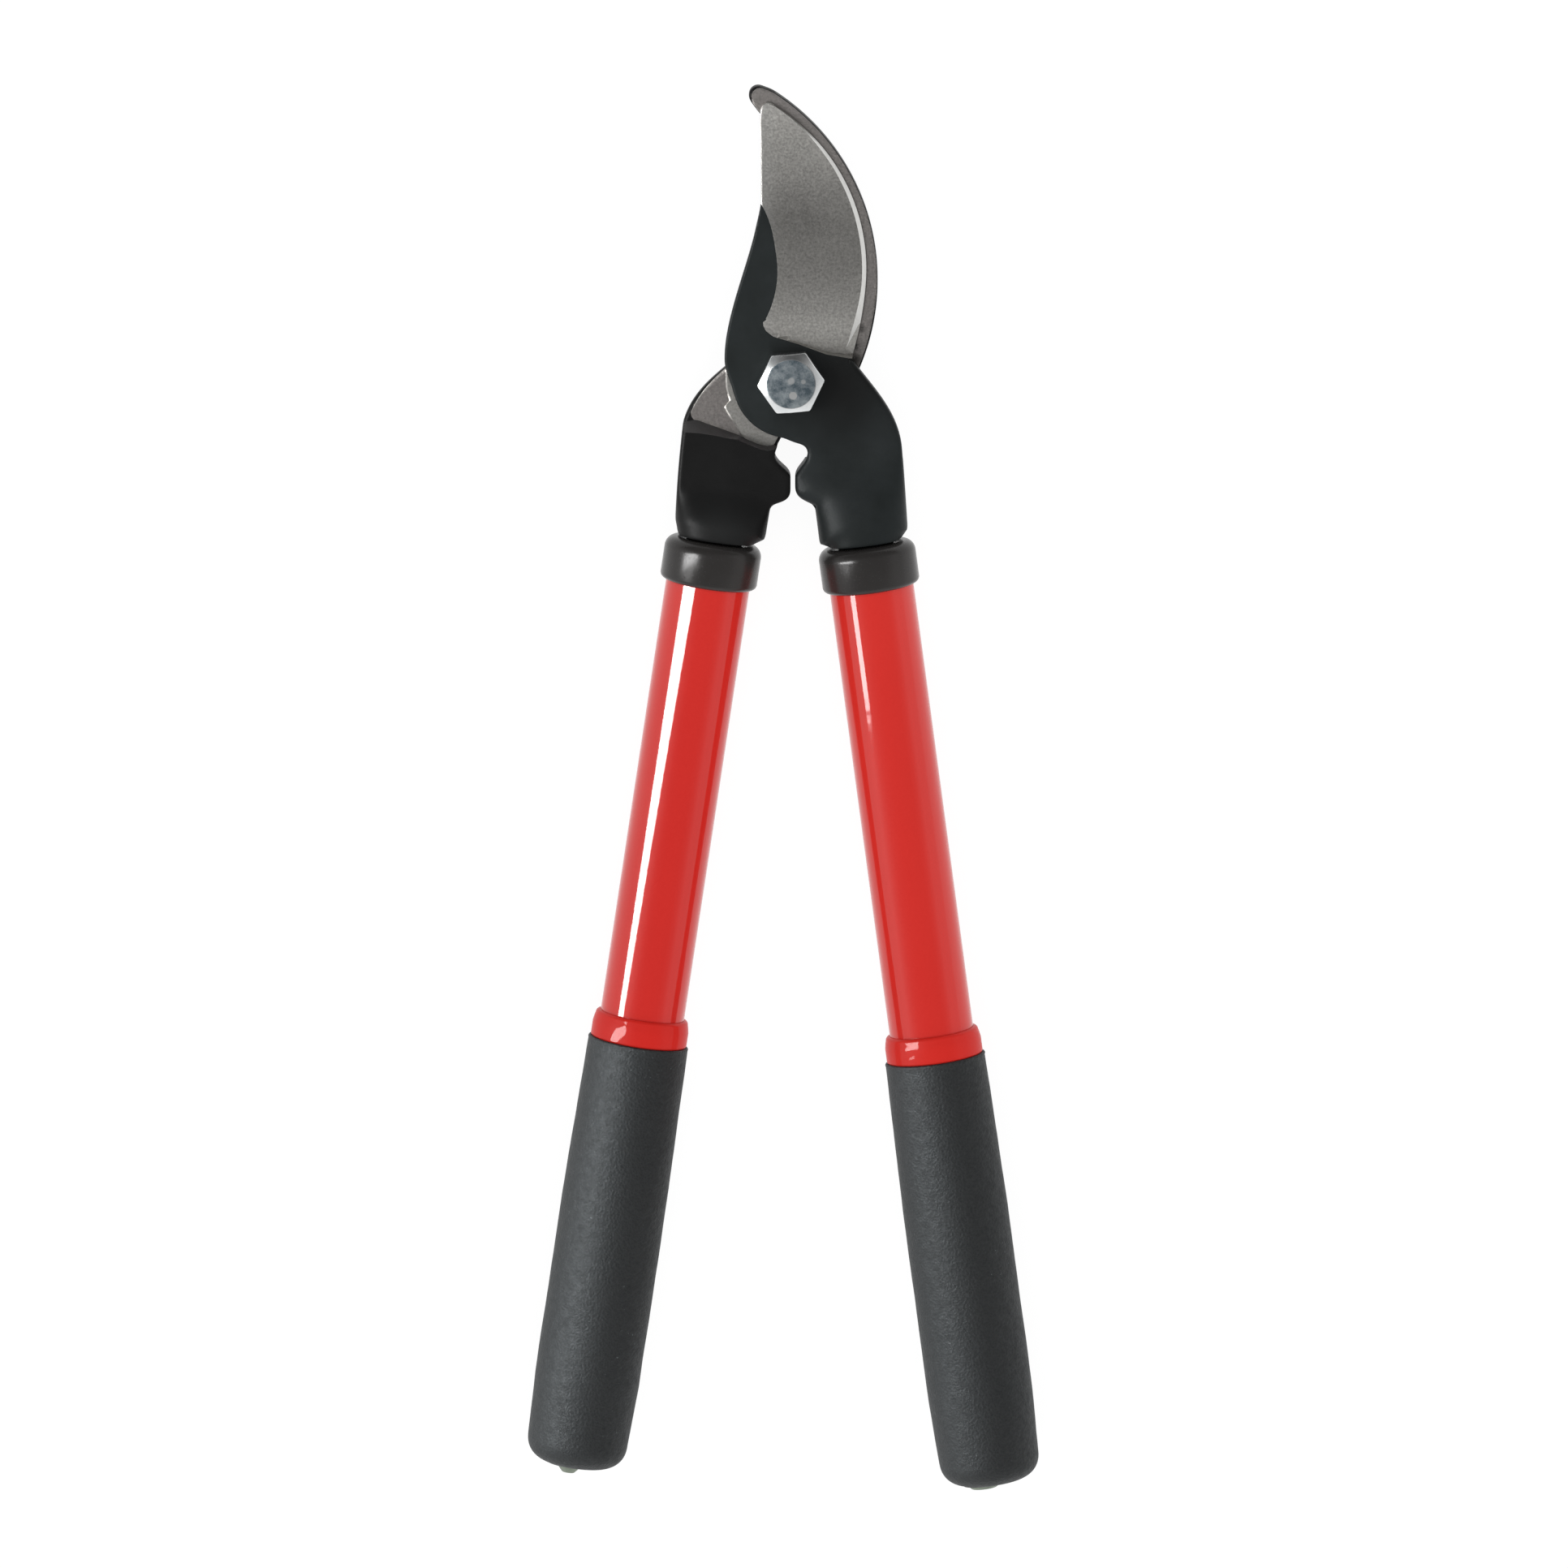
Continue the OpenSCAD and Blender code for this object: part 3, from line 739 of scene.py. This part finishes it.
# the ground seat's outer corner
seat_corner = np.array([
    (-28.0, -12.2), (-28.6, -11.5), (-28.95, -10.6), (-28.95, -9.6), (-28.7, -8.9)])
# the line where the ground face runs out, above the bolt
blade_runout = np.array([
    (-20, 18.4), (-8.2, 18.4), (-7.9, 15.9), (-7.2, 14.6), (-5.2, 13.0), (2.0, 10.8), (10.1, 7.8),
    (16.8, 6.6), (30, 6.6)])
# the step on the blade's underside, from its flat down to its thicker shank
under_step_top = [(-3, -22.8), (40, -23.4)]
under_step_foot = [(-3, -23.6), (40, -24.2)]


def swell(half, x, y, outer, inner, start, first_slope=0.0):
    """How round a forging has become on its way to the ferrule, and the round section."""
    t = down_handle(half, x, y)
    share = np.clip((t - start) / (ROUND_TO - start), 0, 1)
    share = first_slope * share + (1 - first_slope) * share * share * (3 - 2 * share)
    plan = np.column_stack((x, y))
    left, right = nearest(plan, outer)[0], nearest(plan, inner)[0]
    across = np.abs(left - right) / np.maximum(left + right, 1e-6)
    section = SWELL * np.clip(1 - across ** 2.5, 0, 1) ** 0.4
    end_gap = FERRULE_T[half] - t
    section *= 1 - drop(np.clip(end_gap, 0, None), END_ROUND) / SWELL
    return share, section


def pad_reach(angle):
    """Radius of the raised pad round the pivot, with its step beside the blade's boss."""
    return PAD_R + 2.1 * smooth_step(angle, 199.5, 204) + 1.4 * smooth_step(angle, 218, 234)


def hook_top(x, y, gap, fillet):
    """Lift of the hook's upper side."""
    foot = np.interp(x, *hook_foot.T)
    crest = np.interp(x, *hook_crest.T)
    climb = np.clip((foot - y) / (foot - crest), 0, 1)
    climb = 0.55 * climb + 0.45 * smooth_step(climb, 0, 1)
    angle = np.degrees(np.arctan2(y, x)) % 360
    pad = pad_reach(angle)
    seat = SEAT_DROP * smooth_step(np.hypot(x, y), pad, pad + PAD_STEP_W)
    seat *= (1 - smooth_step(y, 3, 8)) * (x < 0)
    plate = -seat + (HOOK_TOP + seat) * climb
    share, section = swell("hook", x, y, hook_outer, hook_inner, ROUND_FROM["hook"], 0.12)
    return plate * (1 - share) + section * share - drop(gap, fillet * (1 - share))


def hook_under(x, y, gap, fillet):
    """Lift of the hook's underside."""
    share, section = swell("hook", x, y, hook_outer, hook_inner, ROUND_FROM_UNDER)
    return PLATE_UNDER * (1 - share) - section * share + drop(gap, 0.7 * fillet * (1 - share))


def hook_rim(x, y):
    """Width of the coated rim: narrow along the jaw, wide at the nose and beside the seat."""
    seat = (SEAT_RIM - JAW_RIM) * (1 - smooth_step(y, -10, 4))
    nose = (NOSE_RIM - JAW_RIM) * smooth_step(y, 80, 82) * (1 - smooth_step(x, -11, -8.5))
    heel = 0.25 * (1 - smooth_step(y, 14, 30)) * (x > 10)
    return JAW_RIM + seat * (x < 0) + nose + heel


def hook_zone(x, y, gap, is_top):
    """Materials of the hook's faces, as places in its list of skins."""
    skin = np.zeros(len(x), int)
    if not is_top:
        return skin
    rim = hook_rim(x, y)
    foot = np.interp(x, *hook_foot.T)
    corner = (y < seat_corner[-1, 1]) & (x < np.interp(y, *seat_corner[:, ::-1].T))
    bare = (y > foot) & (gap > rim) & ~corner
    # a painted highlight: the pale line inside the seat's rim
    line = bare & (gap < rim + SEAT_LINE) & (x < -12) & (y < 6)
    past_pad = np.hypot(x, y) - pad_reach(np.degrees(np.arctan2(y, x)) % 360)
    beside = bare & (x < 0) & (y < 3)
    pad = beside & (past_pad < 0)
    step = beside & (past_pad > 0) & (past_pad < PAD_STEP_W)
    wall = (y < foot) & (y > np.interp(x, *hook_crest.T)) & (gap > 0.4)
    for part, index in ((bare, 1), (line | pad, 2), (step, 4), (wall, 3)):
        skin[part] = index
    return skin


def bevel_start(angle):
    """Radius where the honed bevel starts, from the heel to the tip."""
    return np.interp(angle, (-27, -24, -20, -14, -5, 10, 25, 38, 47, 53, 58),
                     (55.7, 55.45, 55.05, 54.9, 55.1, 55.1, 55.2, 55.45, 55.85, 56.1, 56.2))


def bright_end(angle):
    """Radius where the bevel's bright part ends. At the heel it leaves the edge."""
    return np.interp(angle, (-27, -24.2, -22.3, -20, -17, -14),
                     (55.5, 55.5, 55.65, 55.95, 56.35, 58.0))


def ground_start(angle):
    """Inner border of the ground face, from the edge's centre. It swings out near the tip."""
    return GROUND_R + GROUND_SWING * smooth_step(angle, 8, 42)


def ground_lift(x, y):
    """Lift of the ground face, its distance past its border, and where it is honed bright."""
    across, along = x - EDGE_CENTRE[0], y - EDGE_CENTRE[1]
    reach = np.hypot(across, along)
    angle = np.degrees(np.arctan2(along, across))
    face = BLADE_TOP - GROUND_FALL * (reach - GROUND_R)
    edge, bevel = edge_reach(angle), bevel_start(angle)
    start = BLADE_TOP - GROUND_FALL * (bevel - GROUND_R)
    honed = EDGE_LIFT + (edge - reach) * (start - EDGE_LIFT) / (edge - bevel)
    bright = (reach > bevel) & (reach < bright_end(angle))
    return np.minimum(face, honed), reach - ground_start(angle), bright


def blade_top(x, y, gap, fillet):
    """Lift of the blade's upper side."""
    face, past, _ = ground_lift(x, y)
    above = y - np.interp(x, *blade_runout.T)
    wall = BLADE_TOP - RUNOUT_SLOPE * above
    ground = np.where(above > 0, np.maximum(face, np.minimum(wall, BLADE_TOP)), BLADE_TOP)
    plate = np.where(past > -GROUND_SWING, np.minimum(ground, BLADE_TOP), BLADE_TOP)
    share, section = swell("blade", x, y, blade_outer, blade_inner, ROUND_FROM["blade"])
    return plate * (1 - share) + section * share - drop(gap, fillet * (1 - share))


def blade_under(x, y, gap, fillet):
    """Lift of the blade's underside: flat, with a step down where the shank starts."""
    below = -22.8 - 0.013 * x - y
    plate = BLADE_LIFT + (PLATE_UNDER - BLADE_LIFT) * smooth_step(below, 0, 0.8)
    share, section = swell("blade", x, y, blade_outer, blade_inner, ROUND_FROM_UNDER)
    return plate * (1 - share) - section * share + drop(gap, 0.5 * fillet * (1 - share))


def blade_zone(x, y, gap, is_top):
    """Materials of the blade's faces. The honed bevel is on the upper side only."""
    _, past, honed = ground_lift(x, y)
    above = y - np.interp(x, *blade_runout.T)
    bare = (past > 0) & (above > 0)
    bright = honed & (above > 0.5) & is_top
    return np.where(bare, np.where(bright, 2, 1), 0)


def runout_foot():
    """Where the run-out wall meets the ground face."""
    line = even(blade_runout[1:-1])
    above = np.full(len(line), 0.3)
    for _ in range(6):
        face = ground_lift(line[:, 0], line[:, 1] + above)[0]
        above = np.clip((BLADE_TOP - face) / RUNOUT_SLOPE, 0.02, 2)
    line[:, 1] += above
    return line[above > 0.15]


def pad_edge(extra):
    """The edge of the pivot pad where it is in view, moved outwards by extra."""
    angles = np.linspace(150, 262, 140)
    return (pad_reach(angles) + extra)[:, None] * spokes(angles)


def crease_across(half, t, width):
    """A line across a handle, in the plan."""
    ends = [PLACE[half] @ Vector((x * MM, 0, t * MM)) / MM for x in (-width, width)]
    return even([end[:2] for end in ends])


bore = arc((0, 0), BORE_R, 0, 357.5, 143)
hook_loop = hook_outline[:, :2]
rim_width = hook_rim(*hook_loop.T)
rim = inset(hook_loop, rim_width)
seat_line = inset(hook_loop, rim_width + SEAT_LINE)
seat_line = seat_line[(seat_line[:, 0] < -12) & (np.abs(seat_line[:, 1] + 3) < 9)]

hook_piece = forged(
    "hook_forging", hook_outline, bore,
    [even(hook_foot), even(hook_crest), crease_across("hook", ROUND_FROM["hook"], 17),
     np.vstack((rim, rim[:1])), seat_line, even(seat_corner), pad_edge(0),
     pad_edge(PAD_STEP_W)],
    hook_top, hook_under, hook_zone, [HOOK_COAT, HOOK_FACE, POLISH_AND_HIGHLIGHT, SHOULDER, PAD_STEP], [{0, 3}])
blade_piece = forged(
    "blade_forging", blade_outline, bore,
    [even(blade_runout[1:]), runout_foot(), round_edge(bevel_start, -26.5, 57.5, 140),
     round_edge(bright_end, -24.2, -15.5, 30), round_edge(ground_start, -27, 42, 60),
     even(under_step_top), even(under_step_foot)],
    blade_top, blade_under, blade_zone, [BLADE_COAT, BLADE_FACE, HONED], [{1, 2}, {0, 2}])


def show(piece, half, slot, *nodes):
    """Rides a piece on its half and hides the CAD nodes it stands for. The slot it is given is not used."""
    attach(piece, half + "_half")
    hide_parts(*nodes)
    return piece


# -------- handles
def pin_tool(half):
    """A rod the size of a tang pin's hole, to cut with."""
    radius = PIN_R + GAP
    centre = Matrix.Translation((0, 0, (FERRULE_T[half] + PIN_DROP) * MM))
    across = PLACE[half] @ (centre @ Matrix.Rotation(math.radians(90), 4, "X"))
    return turned("pin_tool", [(0, -20), (radius, -20), (radius, 20), (0, 20)], PIN, across, sides=48)


def add_tang(piece, half):
    """Joins the flat tang inside the handle to a forging."""
    width, depth, length = TANG
    end = FERRULE_T[half]
    tang = block("tang", (-width / 2, -depth / 2, end - 3), (width / 2, depth / 2, end + length),
                 PLACE[half], HOOK_COAT)
    carve(tang, pin_tool(half))
    bm = bmesh.new()
    bm.from_mesh(tang.data)
    bm.from_mesh(piece.data)
    bm.to_mesh(piece.data)
    bm.free()
    bpy.data.objects.remove(tang)


def ferrule(half):
    """The cap between a forging and its tube, with a slot for the tang."""
    top = FERRULE_T[half]
    bottom = top + FERRULE_L
    shoulder = [(r, top + z) for r, z in arc((FERRULE_R - 3.4, 3.4), 3.4, -90, 0, 14)]
    lip = [(FERRULE_R - r, bottom - z)
           for r, z in ((0, 1.5), (0.25, 0.8), (0.75, 0.35), (1.3, 0.08), (1.8, 0))]
    levels = [(0, top), (6, top)] + shoulder + lip + [
        (TUBE_R + GAP, bottom - 0.02), (TUBE_R + GAP, top + WEB), (0, top + WEB)]
    piece = turned(half + "_ferrule_cap", levels, FERRULE, PLACE[half])
    x, y = TANG[0] / 2 + GAP, TANG[1] / 2 + GAP
    carve(piece, block("slot", (-x, -y, top - 2), (x, y, top + 6), PLACE[half], FERRULE))
    return piece


def tube(half):
    """The steel tube, with a hole through it for the tang pin."""
    top = FERRULE_T[half] + WEB + GAP
    bottom = GRIP_T[half] + GRIP_L - FOAM_END - FLANGE
    hole = FERRULE_T[half] + PIN_DROP
    beside = (hole - 3.5, hole + 3.5)
    marks = [top + 0.3, *beside, top + 20, *np.arange(top + 40, bottom - 10, 20)]
    outside = [(TUBE_R - 0.3, top)] + [(TUBE_R, t) for t in marks]
    outside += [(TUBE_R, bottom - 0.3), (TUBE_R - 0.3, bottom)]
    within = [(TUBE_BORE, t) for t in (bottom, *beside[::-1], top)]
    piece = turned(half + "_handle_tube", outside + within, PAINT, PLACE[half], closed=True)
    carve(piece, pin_tool(half))
    return piece


def ring(half):
    """The red ring that the grip butts against."""
    bottom = GRIP_T[half]
    top = bottom - RING_L
    corner = [(r, top + z) for r, z in arc((RING_R - 1.7, 1.2), 1.2, -90, 0, 8)]
    bead = [(RING_R - 0.3, top + 1.9), (RING_R, top + 3.6)]
    bead += [(RING_R, bottom - 0.4), (RING_R - 0.3, bottom)]
    bore_r = TUBE_R + GAP
    return turned(half + "_collar_ring", [(bore_r, top)] + corner + bead + [(bore_r, bottom)],
                  RED_PLASTIC, PLACE[half], closed=True)


def grip(half):
    """The foam sleeve, with a slightly uneven skin and the vent hole off its axis."""
    top = GRIP_T[half] + GAP
    bottom = GRIP_T[half] + GRIP_L
    end_r = GRIP_END_R
    lip = [(r, top + z) for r, z in arc((end_r - 0.5, 0.5), 0.5, -90, 0, 5)]
    sleeve = even([(end_r, top + 1.0), (GRIP_R, bottom - 81), (GRIP_R, bottom - 26),
                   (end_r, bottom - 7.6)], 1.2)
    round_end = curve((end_r, bottom - 7.6), (end_r - 0.2, bottom - 3.4), (end_r - 2.8, bottom - 1.2),
                      (end_r - 6.6, bottom - 0.5), 16)
    cavity = bottom - FOAM_END
    shift = NUB_SHIFT[half]
    away = Vector((WAVES[half], 0, 0))

    def soft(radius, height, slide=0.0, amount=1.0):
        """A level whose radius wanders with a cloudy wave."""
        def level(angle):
            turn = math.radians(angle)
            spot = Vector((radius * math.cos(turn), radius * math.sin(turn), height))
            wave = noise.noise(spot / 14 + away) * 0.14
            wave += noise.noise(spot / 3.5) * 0.035
            return radius + amount * wave - 0.1 * amount, height, slide
        return level

    levels = [(TUBE_R + GAP, top)] + lip + [soft(*p) for p in sleeve] + [soft(*p) for p in round_end]
    nub = NUB[half][0]
    levels += [soft(7.2, bottom - 0.35, 0.5 * shift, 0.5), (nub + 1.2, bottom - 0.3, 0.9 * shift),
               (nub + 0.35, bottom - 0.45, shift), (nub + GAP, bottom - 0.9, shift),
               (nub + GAP, cavity, shift), (TUBE_R + GAP, cavity)]
    return turned(half + "_foam_grip", levels, FOAM, PLACE[half], closed=True, sides=112,
                  crease=math.radians(50))


def end_plug(half):
    """The plug in the tube's end, with a flange and the nub that shows through the foam."""
    end = GRIP_T[half] + GRIP_L - FOAM_END - FLANGE
    nub, point, over = NUB[half]
    foam = end + FLANGE + FOAM_END
    tip = foam + over
    inner = TUBE_BORE - GAP
    shift = NUB_SHIFT[half]
    levels = [
        (0, end - 18), (inner - 1.4, end - 18), (inner - 1, end - 17.8), (inner, end - 16.5),
        (inner, end + GAP), (TUBE_R - 0.2, end + GAP), (TUBE_R, end + 0.25),
        (TUBE_R, end + FLANGE - 0.25), (TUBE_R - 0.2, end + FLANGE - GAP),
        (nub + 0.4, end + FLANGE - GAP, shift), (nub, end + FLANGE + 0.4, shift),
        (nub, foam - 0.45, shift), (nub - 0.2, foam - 0.3, shift),
        (point + 0.3, tip - 0.25, shift), (point, tip - 0.08, shift),
        (point - 0.5, tip, shift), (0, tip, shift)]
    return turned(half + "_vent_plug", levels, PLUG, PLACE[half])


add_tang(hook_piece, "hook")
add_tang(blade_piece, "blade")
show(hook_piece, "hook", "forged_steel", "hook_blade")
show(blade_piece, "blade", "blade_steel", "cutting_blade")
for half in PLACE:
    show(ferrule(half), half, "ferrule_plastic", half + "_ferrule")
    show(tube(half), half, "red_paint", half + "_tube")
    show(ring(half), half, "red_plastic", half + "_grip_ring")
    foam = show(grip(half), half, "grip_foam", half + "_grip")
    show(end_plug(half), half, "plug_plastic", half + "_end_plug")

# -------- pivot bolt, washer and nut
HEAD_LOW = MID + BLADE_TOP + GAP
HEAD_H = 6.4
HEAD_FLAT = 14.3 / 2  # radius of the head's flat top
THREAD_R = 5.0
THREAD_DEPTH = 0.85
PITCH = 1.5
NUT_LOW = 1.3
NUT_H = 7.4
NUT_FACE_R = 8.6  # radius of the nut's bearing face
NUT_CHAMFER = 0.56  # slope of the corners at that face
NUT_COLLAR_H = 2.0  # the round collar that holds the insert
NUT_SHOULDER = 3.3  # where the corners would meet a circle of NUT_FLARE_R
NUT_FLARE_R = 10.4
NUT_FLARE = 0.59  # slope of the corners at the collar


def hex_reach(turn):
    """Distance from the axis to a hexagon's side, with its corners slightly worn."""
    def reach(angle):
        off = math.radians((angle - turn) % 60 - 30)
        return min(WRENCH / 2 / math.cos(off), WRENCH / 2 / math.cos(math.radians(30)) - 0.12)
    return reach


def bolt():
    """The pivot bolt: thread, plain shank and a hexagonal head with a chamfered top."""
    reach = hex_reach(HEAD_TURN)
    slope = math.tan(math.radians(30))
    top = HEAD_LOW + HEAD_H

    def thread(height):
        def level(angle):
            turn = (height / PITCH - angle / 360) % 1
            depth = THREAD_DEPTH * abs(2 * turn - 1) * min(1, (10 - height) / 2)
            return THREAD_R - depth, height
        return level

    levels = [(0, 0), (3.9, 0), (4.1, 0.15)]
    levels += [thread(z) for z in np.arange(0.4, 9.9, PITCH / 8)]
    levels += [
        (THREAD_R, 10.2), (THREAD_R, HEAD_LOW), (7.6, HEAD_LOW), (8.2, HEAD_LOW + 0.1),
        lambda a: (reach(a) - 0.12, HEAD_LOW + 0.12), lambda a: (reach(a), HEAD_LOW + 0.3),
        lambda a: (reach(a), top - (reach(a) - HEAD_FLAT) * slope - 0.15),
        lambda a: (reach(a) - 0.12, top - (reach(a) - HEAD_FLAT) * slope + 0.02),
        (HEAD_FLAT + 0.15, top - 0.13), (HEAD_FLAT - 0.1, top - 0.03),
        (HEAD_FLAT - 0.5, top), (0, top)]
    last = len(levels) - 2
    return turned("bolt_and_head", levels, ZINC, sides=144, crease=math.radians(20), other=HEAD_TOP,
                  bands=(last, last - 1))


def washer():
    low, high = NUT_LOW + NUT_H, MID + PLATE_UNDER
    levels = [(5.3, low), (9.7, low), (10, low + 0.3), (10, high - 0.3), (9.7, high), (5.3, high)]
    return turned("plain_washer", levels, ZINC, closed=True)


def nut():
    """The lock nut: a hexagon with chamfered corners and a round collar below it."""
    reach = hex_reach(NUT_TURN)
    high = NUT_LOW + NUT_H
    collar = NUT_LOW + NUT_COLLAR_H

    def upper(angle):
        return high - (reach(angle) - NUT_FACE_R) * NUT_CHAMFER

    def lower(angle):
        return NUT_LOW + NUT_SHOULDER - (NUT_FLARE_R - reach(angle)) * NUT_FLARE

    rounded = [(r, NUT_LOW + z) for r, z in (
        (7.5, 1.95), (7.4, 1.8), (7.4, 0.9), (7.2, 0.35), (6.8, 0.05), (6.4, 0))]
    levels = [
        (THREAD_R + GAP, high), (NUT_FACE_R, high),
        lambda a: (reach(a) - 0.1, upper(a) - 0.02), lambda a: (reach(a), upper(a) - 0.15),
        lambda a: (reach(a), lower(a) + 0.15), lambda a: (reach(a) - 0.1, lower(a)),
        (8.2, collar), *rounded, (6.4, collar), (THREAD_R + GAP, collar)]
    return turned("locking_nut", levels, ZINC, closed=True, sides=144, crease=math.radians(28))


show(bolt(), "hook", "zinc_steel", "pivot_bolt")
show(washer(), "hook", "zinc_steel", "nut_washer")
show(nut(), "hook", "zinc_steel", "lock_nut")

# the hidden pieces stay as the CAD's own meshes
KEPT = {"hook_tang_pin": PIN, "hook_tang_liner": LINER, "blade_tang_pin": PIN,
        "blade_tang_liner": LINER, "nut_insert": INSERT}
for node, skin in KEPT.items():
    frame["nodes"][node].material_slots[0].material = skin

# -------- floor, light and camera
scene.view_settings.view_transform = "Standard"

FLOOR_GLOW = 0.93
FLOOR_HALF = 6.0  # metres
FLOOR_Z = -0.0004
SKY = ((0.0, 1.0), (0.45, 1.0), (0.65, 0.5), (0.8, 0.27), (1.0, 0.2))  # height and brightness
FADES = {"Y": (0.3, 0.75, 0.15), "X": (0.1, 0.8, 0.82)}  # start, end and dimmest share
LIGHT_Z = 0.9
VIEW_TILT = math.radians(9)
DISTANCE = 20.0
VIEW_WIDTH = 0.454
SENSOR = 36
TARGET = Vector((-0.002, -0.1188, MID * MM))


def plain_floor():
    """A white floor that glows evenly, and takes only faint shadows."""
    bm = bmesh.new()
    bmesh.ops.create_grid(bm, x_segments=1, y_segments=1, size=FLOOR_HALF)
    skin = Skin("pale_floor", Roughness=0.9, Specular_IOR_Level=0.0, Base_Color=(0.12, 0.12, 0.12, 1),
                Emission_Color=(1, 1, 1, 1), Emission_Strength=FLOOR_GLOW)
    floor = make_object("floor", bm, [skin.material], Matrix.Translation((0, 0, FLOOR_Z)))


def sky():
    """Even studio light: white walls, a dim ceiling, darker past the jaws and on the right."""
    world = bpy.data.worlds.new("studio")
    world.use_nodes = True
    scene.world = world
    graph = Graph(world.node_tree)
    towards = graph.add("SeparateXYZ", {0: graph.add("TexCoord").outputs["Generated"]}).outputs
    tone = graph.ramp(towards["Z"], [(height, (grey, grey, grey)) for height, grey in SKY])
    fades = [graph.fit(towards[axis], low, high, 1.0, dimmest, interpolation_type="SMOOTHSTEP")
             for axis, (low, high, dimmest) in FADES.items()]
    background = graph.tree.nodes["Background"].inputs
    graph.tree.links.new(tone, background["Color"])
    graph.tree.links.new(graph.times(*fades), background["Strength"])


def panel(name, corner, along, across, radiance, glossy):
    """A level rectangular light that faces down. corner, along and across are in metres. A
    glossy light shows only as a reflection, and any other only as an even wash."""
    along, across = Vector(along), Vector(across)
    data = bpy.data.lights.new(name, "AREA")
    data.shape = "RECTANGLE"
    data.size, data.size_y = along.length, across.length
    data.energy = radiance * math.pi * along.length * across.length
    lamp = bpy.data.objects.new(name, data)
    x_axis = along.normalized()
    place = Matrix((x_axis, UP.cross(x_axis), UP)).transposed().to_4x4()
    place.translation = Vector(corner) + along / 2 + across / 2
    lamp.matrix_world = place
    lamp.visible_diffuse = not glossy
    lamp.visible_glossy = glossy
    scene.collection.objects.link(lamp)


plain_floor()
sky()
panel("key", (-0.62, -0.134, LIGHT_Z), (-1.85, -0.312, 0), (-0.05, 0.34, 0), 30, True)
panel("slim", (-0.93, -0.43, LIGHT_Z), (-0.68, -0.182, 0), (-0.01, 0.045, 0), 18, True)
panel("wash", (-1.5, -1.6, 1.5), (3.0, 0, 0), (0, 3.0, 0), 1.0, False)

camera_data = bpy.data.cameras.new("camera")
camera_data.sensor_width = SENSOR
camera_data.lens = SENSOR * DISTANCE / VIEW_WIDTH
camera_data.clip_end = 50
camera = bpy.data.objects.new("camera", camera_data)
back = Vector((0, math.sin(VIEW_TILT), math.cos(VIEW_TILT)))
spot = Matrix.Translation(TARGET + DISTANCE * back)
camera.matrix_world = spot @ Matrix.Rotation(-VIEW_TILT, 4, "X")
scene.collection.objects.link(camera)
scene.camera = camera
